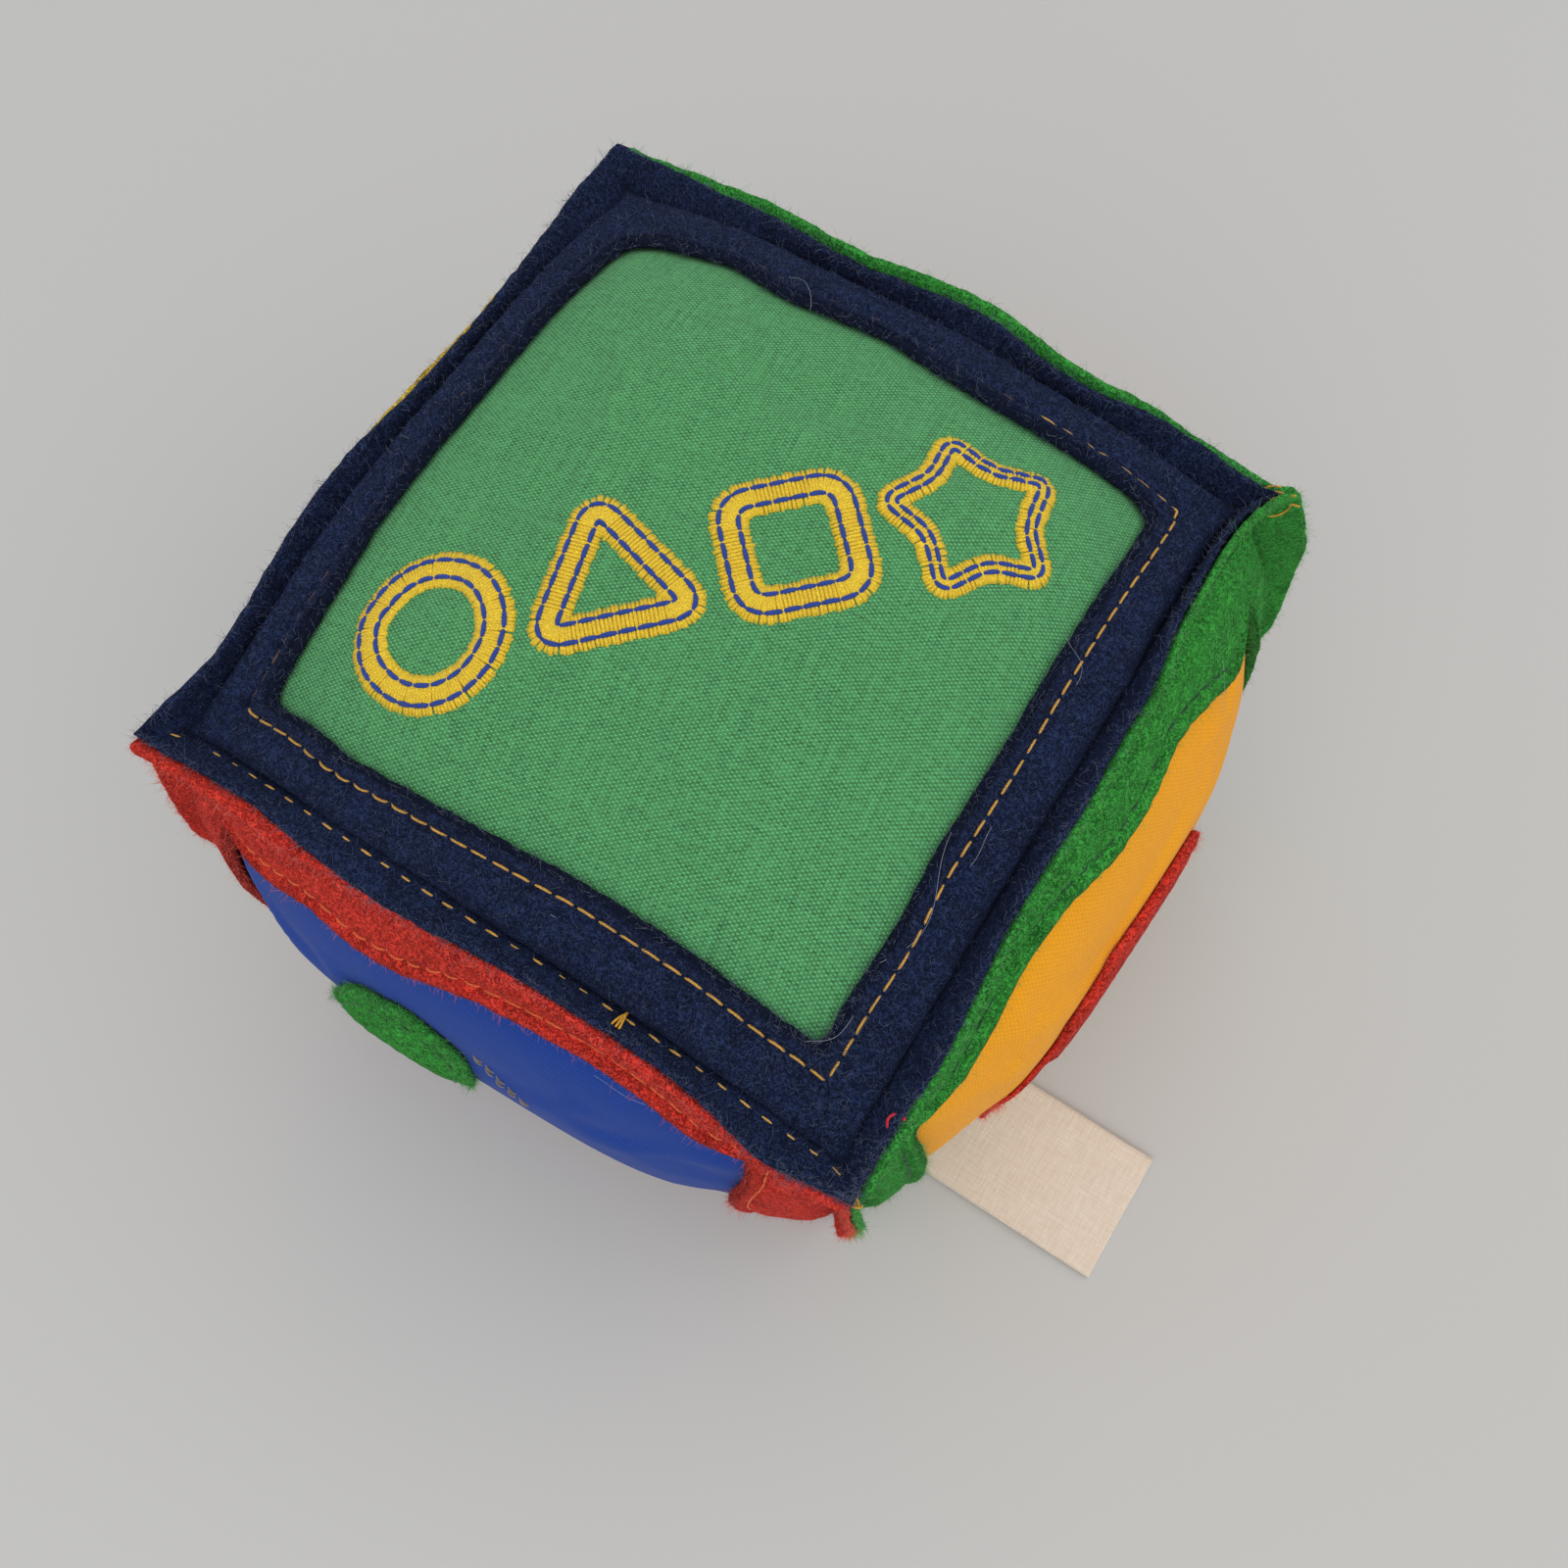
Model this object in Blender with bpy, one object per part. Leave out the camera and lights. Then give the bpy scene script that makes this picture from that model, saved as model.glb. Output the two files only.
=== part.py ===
"""Soft fabric block: a stuffed cube whose six crowned cloth panels each sit in a felt frame.

Every frame is one square of felt with a window cut in it. Its outer border turns up at the
seam and stands out as a raw flange, face to face with the flange of the frame beside it.
The block stands on its bottom panel, and a folded tape tag hangs in one bottom seam.
"""

import math

import bmesh
import bpy
from mathutils import Vector

# The block, measured along its seams
SEAM_SPAN = 0.114
FLANGE_WIDTH = 0.0055
SIDE_CROWN = 0.015
TOP_CROWN = 0.014
EDGE_BOW = 0.006
TOP_BOW = 0.008
FLAT_DEPTH = 0.0005

# How much of the edge bow each upright edge takes, by the signs of its x and y
EDGE_BOW_SHARES = {(-1, 1): 1.0, (1, 1): 1.0, (1, -1): 0.45, (-1, -1): 1.35}

# How full each face is: a higher power keeps the crown up nearer to the seams
SIDE_FULLNESS = 4.0
TOP_FULLNESS = 4.3
BOTTOM_FULLNESS = 4.0

# Cloth and its clearances
FELT_THICKNESS = 0.0012
PANEL_THICKNESS = 0.0006
LAYER_GAP = 0.0003
FILL_GAP = 0.0006
FLANGE_GAP = 0.0003

# The felt left between each seam and the window cut in it, the window's corners, and how
# much of that felt the panel's cloth is tucked under
BORDER_WIDTH = 0.010
WINDOW_RADIUS = 0.004
TUCK_SHARE = 0.6

# The wave of the flanges, which no table presses flat
RIPPLE_HEIGHT = 0.0016
RIPPLE_LENGTH = 0.038
RIPPLE_PHASE_SHARE = 0.31

# Shapes of thicker felt sewn on two of the panels: places are from the panel's centre
SHAPE_THICKNESS = 0.0022
DISC_RADIUS = 0.014
DISC_ACROSS = -0.012
DISC_UP = 0.010
SLAB_WIDTH = 0.052
SLAB_HEIGHT = 0.046
SLAB_RADIUS = 0.011
SLAB_ACROSS = -0.007
SLAB_UP = -0.0015

# The folded tape tag in the bottom seam of the right face: its gap to the front seam, and
# its length beyond the seam that holds it
TAG_WIDTH = 0.0285
TAG_INSET = 0.01325
TAG_LENGTH = 0.054
TAG_LEAF = 0.0003
TAG_SLIT = 0.0002
TAG_HINGE_LEAD = 0.001

# Mesh steps, as counts
SIDE_STATIONS = 16
PANEL_STEPS = 12
PLACE_DIGITS = 6
APPLIQUE_SPOKES = 28
APPLIQUE_RINGS = 3
FOLD_STEPS = 6
FLANGE_OUT_BANDS = (2, 3)
FLANGE_BACK_BANDS = (5, 6)
SHARP_ANGLE = math.radians(50)

# Sizes that follow from the values above
SEAM_HALF = SEAM_SPAN / 2
WINDOW_HALF = SEAM_HALF - BORDER_WIDTH
DIAGONAL = math.sqrt(2)
FLANGE_RUN = FLANGE_WIDTH / DIAGONAL
FLANGE_LIFT = FLANGE_GAP / 2 * DIAGONAL
FLANGE_RISE = FELT_THICKNESS * DIAGONAL
PANEL_DEPTH = FELT_THICKNESS + LAYER_GAP
CORE_DEPTH = PANEL_DEPTH + PANEL_THICKNESS + FILL_GAP
PANEL_HALF = WINDOW_HALF + BORDER_WIDTH * TUCK_SHARE
FLOOR_HALF = SEAM_HALF + FLANGE_RUN + FLANGE_LIFT + FELT_THICKNESS / DIAGONAL
BOTTOM_CROWN = FLOOR_HALF + FLAT_DEPTH - SEAM_HALF + PANEL_DEPTH
TAG_THICKNESS = 2 * TAG_LEAF + TAG_SLIT
TAG_ACROSS = TAG_INSET + TAG_WIDTH / 2 - SEAM_HALF
TAG_REACH = SEAM_HALF + TAG_LENGTH
TAG_ROOT_X = SEAM_HALF + FLANGE_RUN + LAYER_GAP + FLANGE_LIFT
TAG_HINGE_X = TAG_ROOT_X + TAG_HINGE_LEAD

EAST = Vector((1, 0, 0))
NORTH = Vector((0, 1, 0))
UP = Vector((0, 0, 1))

# Each face as the directions of its width, its height and its outward normal
FACES = {
    "top": (EAST, NORTH, UP),
    "bottom": (EAST, -NORTH, -UP),
    "front": (EAST, UP, -NORTH),
    "right": (NORTH, UP, EAST),
    "back": (-EAST, UP, NORTH),
    "left": (-NORTH, UP, -EAST),
}

FELT_COLOURS = {
    "top": (0.014, 0.025, 0.080),
    "bottom": (0.014, 0.025, 0.080),
    "front": (0.580, 0.021, 0.010),
    "right": (0.020, 0.240, 0.020),
    "back": (0.020, 0.240, 0.020),
    "left": (0.800, 0.480, 0.020),
}

PANEL_COLOURS = {
    "top": (0.080, 0.305, 0.115),
    "bottom": (0.080, 0.305, 0.115),
    "front": (0.017, 0.070, 0.380),
    "right": (0.830, 0.376, 0.017),
    "back": (0.580, 0.021, 0.010),
    "left": (0.017, 0.070, 0.380),
}


def clear_scene():
    for old in list(bpy.data.objects):
        bpy.data.objects.remove(old, do_unlink=True)


def cloth_material(name, colour, roughness):
    """A plain woven or felted finish."""
    material = bpy.data.materials.new(name)
    material.use_nodes = True
    shader = material.node_tree.nodes["Principled BSDF"]
    shader.inputs["Base Color"].default_value = (*colour, 1)
    shader.inputs["Roughness"].default_value = roughness
    shader.inputs["Metallic"].default_value = 0
    return material


def fullness_of(face):
    if face == "top":
        return TOP_FULLNESS
    if face == "bottom":
        return BOTTOM_FULLNESS
    return SIDE_FULLNESS


def crown_of(face):
    if face == "top":
        return TOP_CROWN
    if face == "bottom":
        return BOTTOM_CROWN
    return SIDE_CROWN


def fill(share, power):
    """Height of the stuffing between two seams: 1 in the middle, 0 on a seam."""
    return 1 - min(1, abs(share)) ** power


def bow_shift(unit):
    """How far the stuffing pushes the edges out at this place of the cube from -1 to 1.

    Upright edges bow outward and top edges bow upward between their corners, while the
    table keeps the bottom edges straight.
    """
    shift = Vector((0, 0, 0))
    for (side_x, side_y), bow_share in EDGE_BOW_SHARES.items():
        nearness = (1 + side_x * unit.x) * (1 + side_y * unit.y) / 4
        shift += Vector((side_x, side_y, 0)) * EDGE_BOW * bow_share * nearness
    lift = TOP_BOW * (1 - (unit.x * unit.y) ** 2) * (1 + unit.z) / 2
    return shift * fill(unit.z, 2) + UP * lift


def block_point(face, across, along, depth):
    """A point of the stuffed form, depth inside its felt face, from the block's centre."""
    width, height, normal = FACES[face]
    unit = across * width + along * height + normal
    point = unit * (SEAM_HALF - depth) + bow_shift(unit)
    power = fullness_of(face)
    point += normal * crown_of(face) * fill(across, power) * fill(along, power)
    floor_level = depth - PANEL_DEPTH - FLOOR_HALF
    point.z = max(point.z, floor_level)
    return point


def window_share(across, along, radius_share):
    """How far out a rounded square reaches towards a point on the square around it."""
    least = min(abs(across), abs(along))
    straight = 1 - radius_share
    if least <= straight:
        return 1
    centre_dot = straight * (1 + least)
    length_squared = 1 + least * least
    spare = centre_dot**2 - length_squared * (2 * straight**2 - radius_share**2)
    return (centre_dot + math.sqrt(spare)) / length_squared


def square_stations():
    """Places round the edge of a square from -1 to 1, corners included."""
    steps = [2 * k / SIDE_STATIONS - 1 for k in range(SIDE_STATIONS)]
    south = [(s, -1) for s in steps]
    east = [(1, s) for s in steps]
    north = [(-s, 1) for s in steps]
    west = [(-1, -s) for s in steps]
    return south + east + north + west


def axis_rank(direction):
    """1, 2 or 3 for a direction along x, y or z, either way."""
    return abs(direction.x) + 2 * abs(direction.y) + 3 * abs(direction.z)


def ripple_shift(face, across, along, reach_share):
    """The wave of a seam flange, one and the same for both felt layers of the seam."""
    width, height, normal = FACES[face]
    outward = width * across if abs(across) > abs(along) else height * along
    middle = normal + outward
    if middle.z < 0:
        return Vector((0, 0, 0))
    unit = across * width + along * height + normal
    travel = sum(unit) - sum(middle)
    phase = RIPPLE_PHASE_SHARE * (middle.x + 2 * middle.y + 4 * middle.z)
    turns = travel * SEAM_HALF / RIPPLE_LENGTH + phase
    wave = math.sin(2 * math.pi * turns) * fill(travel, 2)
    first, second = sorted((normal, outward), key=axis_rank)
    return (first - second) / DIAGONAL * RIPPLE_HEIGHT * wave * reach_share


def flange_point(face, across, along, run, lift):
    """A point of the seam flange: run past the seam at 45 degrees, lift above the mitre."""
    width, height, normal = FACES[face]
    seam = block_point(face, across, along, 0)
    outward = width * across + height * along
    point = seam + outward * run + normal * (run + lift)
    return point + ripple_shift(face, across, along, max(0, run) / FLANGE_RUN)


def face_point(face, across, along, reach, depth):
    """A point on the flat part of the frame, reach from the face's centre line."""
    share = reach / SEAM_HALF
    return block_point(face, across * share, along * share, depth)


def frame_section(face, across, along):
    """The felt's closed section at one station: out along its face, back along its inside."""
    rounding = window_share(across, along, WINDOW_RADIUS / WINDOW_HALF)
    window = WINDOW_HALF * rounding
    upper_crease = SEAM_HALF - FLANGE_LIFT - FLANGE_RISE
    lower_crease = SEAM_HALF - FLANGE_LIFT
    cut_back = FELT_THICKNESS / DIAGONAL
    upper_lift = FLANGE_LIFT + FLANGE_RISE
    return [
        face_point(face, across, along, window, 0),
        face_point(face, across, along, (window + upper_crease) / 2, 0),
        face_point(face, across, along, upper_crease, 0),
        flange_point(face, across, along, FLANGE_RUN / 2, upper_lift),
        flange_point(face, across, along, FLANGE_RUN - cut_back, upper_lift),
        flange_point(face, across, along, FLANGE_RUN, FLANGE_LIFT),
        flange_point(face, across, along, FLANGE_RUN / 2, FLANGE_LIFT),
        face_point(face, across, along, lower_crease, FELT_THICKNESS),
        face_point(face, across, along, (window + upper_crease) / 2, FELT_THICKNESS),
        face_point(face, across, along, window, FELT_THICKNESS),
    ]


def close_grid(bm, rows, wrap_rows, wrap_columns):
    """Quads between neighbouring points of a grid that may close on itself either way."""
    row_count = len(rows)
    column_count = len(rows[0])
    for i in range(row_count if wrap_rows else row_count - 1):
        for j in range(column_count if wrap_columns else column_count - 1):
            here, there = rows[i], rows[(i + 1) % row_count]
            k = (j + 1) % column_count
            bm.faces.new((here[j], there[j], there[k], here[k]))


def finish_object(name, bm, material):
    """Turn a bmesh into a smooth-shaded object standing on the floor."""
    bmesh.ops.recalc_face_normals(bm, faces=bm.faces)
    mesh = bpy.data.meshes.new(name)
    bm.to_mesh(mesh)
    bm.free()
    mesh.materials.append(material)
    mesh.shade_smooth()
    mesh.set_sharp_from_angle(angle=SHARP_ANGLE)
    item = bpy.data.objects.new(name, mesh)
    bpy.context.collection.objects.link(item)
    return item


def place_in_block(item, centre):
    item.parent = centre
    return item


def climbs(face, station, following):
    """Whether the way from one station to the next runs towards +x, +y or +z."""
    width, height, _ = FACES[face]
    step = (following[0] - station[0]) * width + (following[1] - station[1]) * height
    return sum(step) > 0


def add_band(bm, inner, outer, rising):
    """Two triangles of a flange, cut the same way in both layers so that they nest."""
    if rising:
        bm.faces.new((inner[0], inner[1], outer[1]))
        bm.faces.new((inner[0], outer[1], outer[0]))
    else:
        bm.faces.new((inner[1], inner[0], outer[0]))
        bm.faces.new((inner[1], outer[0], outer[1]))


def make_frame(face, centre):
    """One square of felt with its window, crowned face and turned-up seam flange."""
    bm = bmesh.new()
    stations = square_stations()
    rows = [[bm.verts.new(p) for p in frame_section(face, a, b)] for a, b in stations]
    for i, station in enumerate(stations):
        following = (i + 1) % len(stations)
        rising = climbs(face, station, stations[following])
        here, there = rows[i], rows[following]
        for j in range(len(here)):
            k = (j + 1) % len(here)
            if j in FLANGE_OUT_BANDS:
                add_band(bm, (here[j], there[j]), (here[k], there[k]), rising)
            elif j in FLANGE_BACK_BANDS:
                add_band(bm, (here[k], there[k]), (here[j], there[j]), rising)
            else:
                bm.faces.new((here[j], there[j], there[k], here[k]))
    material = cloth_material(f"{face} felt", FELT_COLOURS[face], 0.95)
    return place_in_block(finish_object(f"{face}_frame", bm, material), centre)


def panel_shares():
    """Where the grid lines of a panel run, as shares of the way to the seam."""
    reach = PANEL_HALF / SEAM_HALF
    return [reach * (2 * k / PANEL_STEPS - 1) for k in range(PANEL_STEPS + 1)]


def sheet_rows(bm, face, depth):
    """The grid of one side of a panel."""
    shares = panel_shares()
    return [[bm.verts.new(block_point(face, a, b, depth)) for a in shares] for b in shares]


def grid_border(rows):
    """The outer points of a grid, once round."""
    last = len(rows) - 1
    border = [rows[0][j] for j in range(last)]
    border += [rows[i][last] for i in range(last)]
    border += [rows[last][j] for j in range(last, 0, -1)]
    border += [rows[i][0] for i in range(last, 0, -1)]
    return border


def make_panel(face, centre):
    """The crowned cloth panel behind the window."""
    bm = bmesh.new()
    outer = sheet_rows(bm, face, PANEL_DEPTH)
    inner = sheet_rows(bm, face, PANEL_DEPTH + PANEL_THICKNESS)
    close_grid(bm, outer, wrap_rows=False, wrap_columns=False)
    close_grid(bm, inner, wrap_rows=False, wrap_columns=False)
    close_grid(bm, [grid_border(outer), grid_border(inner)], wrap_rows=False, wrap_columns=True)
    material = cloth_material(f"{face} cloth", PANEL_COLOURS[face], 0.8)
    return place_in_block(finish_object(f"{face}_panel", bm, material), centre)


def make_stuffing(centre):
    """The fibre fill: one plump body under every panel, on the panels' own grid lines."""
    bm = bmesh.new()
    shared = {}
    shares = [-1, *panel_shares(), 1]
    for face, (width, height, normal) in FACES.items():
        rows = []
        for along in shares:
            row = []
            for across in shares:
                unit = across * width + along * height + normal
                key = tuple(round(part, PLACE_DIGITS) for part in unit)
                if key not in shared:
                    shared[key] = bm.verts.new(block_point(face, across, along, CORE_DEPTH))
                row.append(shared[key])
            rows.append(row)
        close_grid(bm, rows, wrap_rows=False, wrap_columns=False)
    material = cloth_material("fibre fill", (0.80, 0.79, 0.75), 0.95)
    return place_in_block(finish_object("stuffing", bm, material), centre)


def disc_outline(turn):
    """The edge of the round felt shape at this part of a full turn."""
    return (DISC_RADIUS * math.cos(turn), DISC_RADIUS * math.sin(turn))


def slab_outline(turn):
    """The edge of the rounded oblong felt shape at this part of a full turn."""
    reach = max(abs(math.cos(turn)), abs(math.sin(turn)))
    across = math.cos(turn) / reach
    along = math.sin(turn) / reach
    share = window_share(across, along, 2 * SLAB_RADIUS / SLAB_HEIGHT)
    return (across * share * SLAB_WIDTH / 2, along * share * SLAB_HEIGHT / 2)


def applique_side(bm, face, outline, place, depth):
    """Rings of one side of a felt shape, from near its middle out to its edge."""
    rings = []
    for ring in range(1, APPLIQUE_RINGS + 1):
        row = []
        for k in range(APPLIQUE_SPOKES):
            edge = outline(2 * math.pi * k / APPLIQUE_SPOKES)
            across = (place[0] + edge[0] * ring / APPLIQUE_RINGS) / SEAM_HALF
            along = (place[1] + edge[1] * ring / APPLIQUE_RINGS) / SEAM_HALF
            row.append(bm.verts.new(block_point(face, across, along, depth)))
        rings.append(row)
    return rings


def make_applique(name, face, outline, place, colour, centre):
    """A flat felt shape sewn on a panel, which it follows."""
    bm = bmesh.new()
    under = PANEL_DEPTH - LAYER_GAP
    sides = []
    for depth in (under - SHAPE_THICKNESS, under):
        rings = applique_side(bm, face, outline, place, depth)
        middle = bm.verts.new(block_point(face, place[0] / SEAM_HALF, place[1] / SEAM_HALF, depth))
        close_grid(bm, rings, wrap_rows=False, wrap_columns=True)
        for k in range(APPLIQUE_SPOKES):
            bm.faces.new((middle, rings[0][k], rings[0][(k + 1) % APPLIQUE_SPOKES]))
        sides.append(rings[-1])
    close_grid(bm, sides, wrap_rows=False, wrap_columns=True)
    material = cloth_material(f"{name} felt", colour, 0.95)
    return place_in_block(finish_object(name, bm, material), centre)


def tag_outline():
    """The folded tape from the side: along the table, round the fold and back above itself."""
    outer = TAG_THICKNESS / 2
    inner = TAG_SLIT / 2
    fold = TAG_REACH - outer
    turns = [math.pi * k / FOLD_STEPS - math.pi / 2 for k in range(FOLD_STEPS + 1)]
    points = [(TAG_ROOT_X, -outer)]
    points += [(fold + outer * math.cos(t), outer * math.sin(t)) for t in turns]
    points += [(TAG_ROOT_X, outer), (TAG_ROOT_X, inner)]
    points += [(fold + inner * math.cos(t), inner * math.sin(t)) for t in reversed(turns)]
    points += [(TAG_ROOT_X, -inner)]
    return [(x - TAG_HINGE_X, z) for x, z in points]


def make_tag(hinge):
    """A tape folded double, both its ends caught in the bottom seam of the right face."""
    bm = bmesh.new()
    rows = []
    for y in (-TAG_WIDTH / 2, TAG_WIDTH / 2):
        rows.append([bm.verts.new((x, y, z)) for x, z in tag_outline()])
    close_grid(bm, rows, wrap_rows=False, wrap_columns=True)
    for row in rows:
        bm.faces.new(row)
    item = finish_object("tag", bm, cloth_material("tag tape", (0.730, 0.630, 0.510), 0.85))
    item.parent = hinge
    return item


def make_empty(name, place, parent):
    item = bpy.data.objects.new(name, None)
    bpy.context.collection.objects.link(item)
    item.location = place
    item.parent = parent
    return item


def build():
    clear_scene()
    centre = make_empty("block_centre", (0, 0, FLOOR_HALF), None)
    make_stuffing(centre)
    for face in FACES:
        make_panel(face, centre)
        make_frame(face, centre)
    green = FELT_COLOURS["right"]
    red = FELT_COLOURS["front"]
    make_applique("front_applique", "front", disc_outline, (DISC_ACROSS, DISC_UP), green, centre)
    make_applique("right_applique", "right", slab_outline, (SLAB_ACROSS, SLAB_UP), red, centre)
    hinge_place = (TAG_HINGE_X, TAG_ACROSS, TAG_THICKNESS / 2 - FLOOR_HALF)
    make_tag(make_empty("tag_hinge", hinge_place, centre))


build()
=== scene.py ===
import math

import bpy
import numpy as np
from mathutils import Matrix, Vector


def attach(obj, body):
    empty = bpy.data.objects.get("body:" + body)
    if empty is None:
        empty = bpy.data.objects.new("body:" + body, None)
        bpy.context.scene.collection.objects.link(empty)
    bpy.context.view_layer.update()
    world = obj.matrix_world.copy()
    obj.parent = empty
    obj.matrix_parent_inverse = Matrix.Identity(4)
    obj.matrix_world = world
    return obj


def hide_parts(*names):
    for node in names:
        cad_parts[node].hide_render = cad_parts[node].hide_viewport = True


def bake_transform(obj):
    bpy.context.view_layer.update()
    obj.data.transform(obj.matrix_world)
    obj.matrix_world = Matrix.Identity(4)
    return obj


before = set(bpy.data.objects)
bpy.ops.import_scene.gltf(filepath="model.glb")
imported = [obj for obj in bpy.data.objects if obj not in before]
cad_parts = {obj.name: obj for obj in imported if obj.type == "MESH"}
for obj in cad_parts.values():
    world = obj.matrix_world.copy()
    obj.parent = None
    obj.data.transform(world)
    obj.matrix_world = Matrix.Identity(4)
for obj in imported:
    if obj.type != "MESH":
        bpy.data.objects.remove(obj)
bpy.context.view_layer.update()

# The stuffing
# A mass of loose polyester fibre fill, pushed in through a gap in one seam until the cube
# stands plump. Every other piece lies on it, so the form of the whole block is set here.

SEAM_HALF = 0.057
SIDE_CROWN = 0.015
TOP_CROWN = 0.014
EDGE_BOW = 0.006
TOP_BOW = 0.008
# How far each upright edge bows out, as a share of EDGE_BOW, by its sides in x and in y
EDGE_BOW_SHARES = {(-1, 1): 1.0, (1, 1): 1.5, (1, -1): 0.45, (-1, -1): 1.35}
# How square a face's bulge is: a higher power keeps it full nearer to the seams
TOP_FULLNESS = 4.3
FULLNESS = 4.0

FELT_THICKNESS = 0.0012
CLOTH_THICKNESS = 0.0006
LAYER_GAP = 0.0003
FILL_GAP = 0.0006
FLANGE_WIDTH = 0.0055
FLAT_DEPTH = 0.0005

PANEL_DEPTH = FELT_THICKNESS + LAYER_GAP
FILL_DEPTH = PANEL_DEPTH + CLOTH_THICKNESS + FILL_GAP
FLOOR_HALF = SEAM_HALF + (FLANGE_WIDTH + LAYER_GAP + FELT_THICKNESS) / math.sqrt(2)
BOTTOM_CROWN = FLOOR_HALF + FLAT_DEPTH - SEAM_HALF + PANEL_DEPTH

FILL_STEPS = 48
FILL_LUMP = 0.0004
FILL_LUMP_SIZE = 0.012
WOBBLE_WAVES = 7

FACES = {
    "top": ((1, 0, 0), (0, 1, 0), (0, 0, 1)),
    "bottom": ((1, 0, 0), (0, -1, 0), (0, 0, -1)),
    "front": ((1, 0, 0), (0, 0, 1), (0, -1, 0)),
    "right": ((0, 1, 0), (0, 0, 1), (1, 0, 0)),
    "back": ((-1, 0, 0), (0, 0, 1), (0, 1, 0)),
    "left": ((0, -1, 0), (0, 0, 1), (-1, 0, 0)),
}
FACES = {name: tuple(np.array(way, float) for way in ways) for name, ways in FACES.items()}


def form(face, across, along, depth=0.0):
    """Points of the stuffed block at shares of a face, depth under the outside of its felt."""
    width, height, normal = FACES[face]
    across, along, depth = np.broadcast_arrays(across, along, depth)
    unit = across[..., None] * width + along[..., None] * height + normal
    point = unit * (SEAM_HALF - depth)[..., None]
    x, y, z = unit[..., 0], unit[..., 1], unit[..., 2]
    for (side_x, side_y), share in EDGE_BOW_SHARES.items():
        push = EDGE_BOW * share * (1 + side_x * x) * (1 + side_y * y) / 4 * (1 - z**2)
        point[..., 0] += side_x * push
        point[..., 1] += side_y * push
    point[..., 2] += TOP_BOW * (1 - (x * y) ** 2) * (1 + z) / 2
    crown = {"top": TOP_CROWN, "bottom": BOTTOM_CROWN}.get(face, SIDE_CROWN)
    fullness = TOP_FULLNESS if face == "top" else FULLNESS
    filled = 1 - np.minimum(1, np.abs(across)) ** fullness
    filled = filled * (1 - np.minimum(1, np.abs(along)) ** fullness)
    point += (crown * filled)[..., None] * normal
    point[..., 2] = np.maximum(point[..., 2], depth - PANEL_DEPTH - FLOOR_HALF) + FLOOR_HALF
    return point


def unit_of(vectors):
    return vectors / np.maximum(np.linalg.norm(vectors, axis=-1, keepdims=True), 1e-12)


def wobble(points, size, seed):
    """A smooth uneven value from about -1 to 1 at every point, with lumps of that size."""
    draw = np.random.default_rng(seed)
    total = np.zeros(points.shape[:-1])
    for _ in range(WOBBLE_WAVES):
        way = unit_of(draw.normal(size=3)) * (2 * math.pi / size) * draw.uniform(0.6, 1.5)
        total += np.sin(points @ way + draw.uniform(0, 2 * math.pi))
    return total / (WOBBLE_WAVES / 2)


def grid_faces(rows, columns, wrap_rows=False, wrap_columns=False, start=0):
    """Quads between neighbouring points of a grid that may close on itself either way."""
    i = np.arange(rows if wrap_rows else rows - 1)[:, None]
    j = np.arange(columns if wrap_columns else columns - 1)[None, :]
    i_next, j_next = (i + 1) % rows, (j + 1) % columns
    corners = [i * columns + j, i * columns + j_next, i_next * columns + j_next]
    corners.append(i_next * columns + j)
    return start + np.stack(np.broadcast_arrays(*corners), axis=-1).reshape(-1, 4)


def make_piece(name, points, face_sets, material, plane_map=None):
    """A smooth-shaded mesh object from points and sets of faces, with an optional flat map."""
    mesh = bpy.data.meshes.new(name)
    sizes = np.concatenate([np.full(len(faces), faces.shape[1]) for faces in face_sets])
    loops = np.concatenate([faces.ravel() for faces in face_sets])
    mesh.vertices.add(len(points))
    mesh.vertices.foreach_set("co", np.asarray(points, np.float32).ravel())
    mesh.loops.add(len(loops))
    mesh.loops.foreach_set("vertex_index", loops.astype(np.int32))
    mesh.polygons.add(len(sizes))
    starts = np.concatenate([[0], np.cumsum(sizes)[:-1]])
    mesh.polygons.foreach_set("loop_start", starts.astype(np.int32))
    mesh.update(calc_edges=True)
    mesh.validate()
    if plane_map is not None:
        layer = mesh.uv_layers.new(name="cloth_mm")
        layer.data.foreach_set("uv", plane_map[loops].astype(np.float32).ravel())
    mesh.shade_smooth()
    mesh.materials.append(material)
    item = bpy.data.objects.new(name, mesh)
    bpy.context.collection.objects.link(item)
    return item


def keep_outward(item):
    """Turn the faces of a closed mesh to face out, where its volume comes out negative."""
    mesh = item.data
    mesh.calc_loop_triangles()
    corners = np.zeros(len(mesh.loop_triangles) * 3, np.int32)
    mesh.loop_triangles.foreach_get("vertices", corners)
    places = np.zeros(len(mesh.vertices) * 3, np.float32)
    mesh.vertices.foreach_get("co", places)
    a, b, c = np.moveaxis(places.reshape(-1, 3)[corners.reshape(-1, 3)].astype(float), 1, 0)
    if (a * np.cross(b, c)).sum() < 0:
        mesh.flip_normals()
    return item


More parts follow.
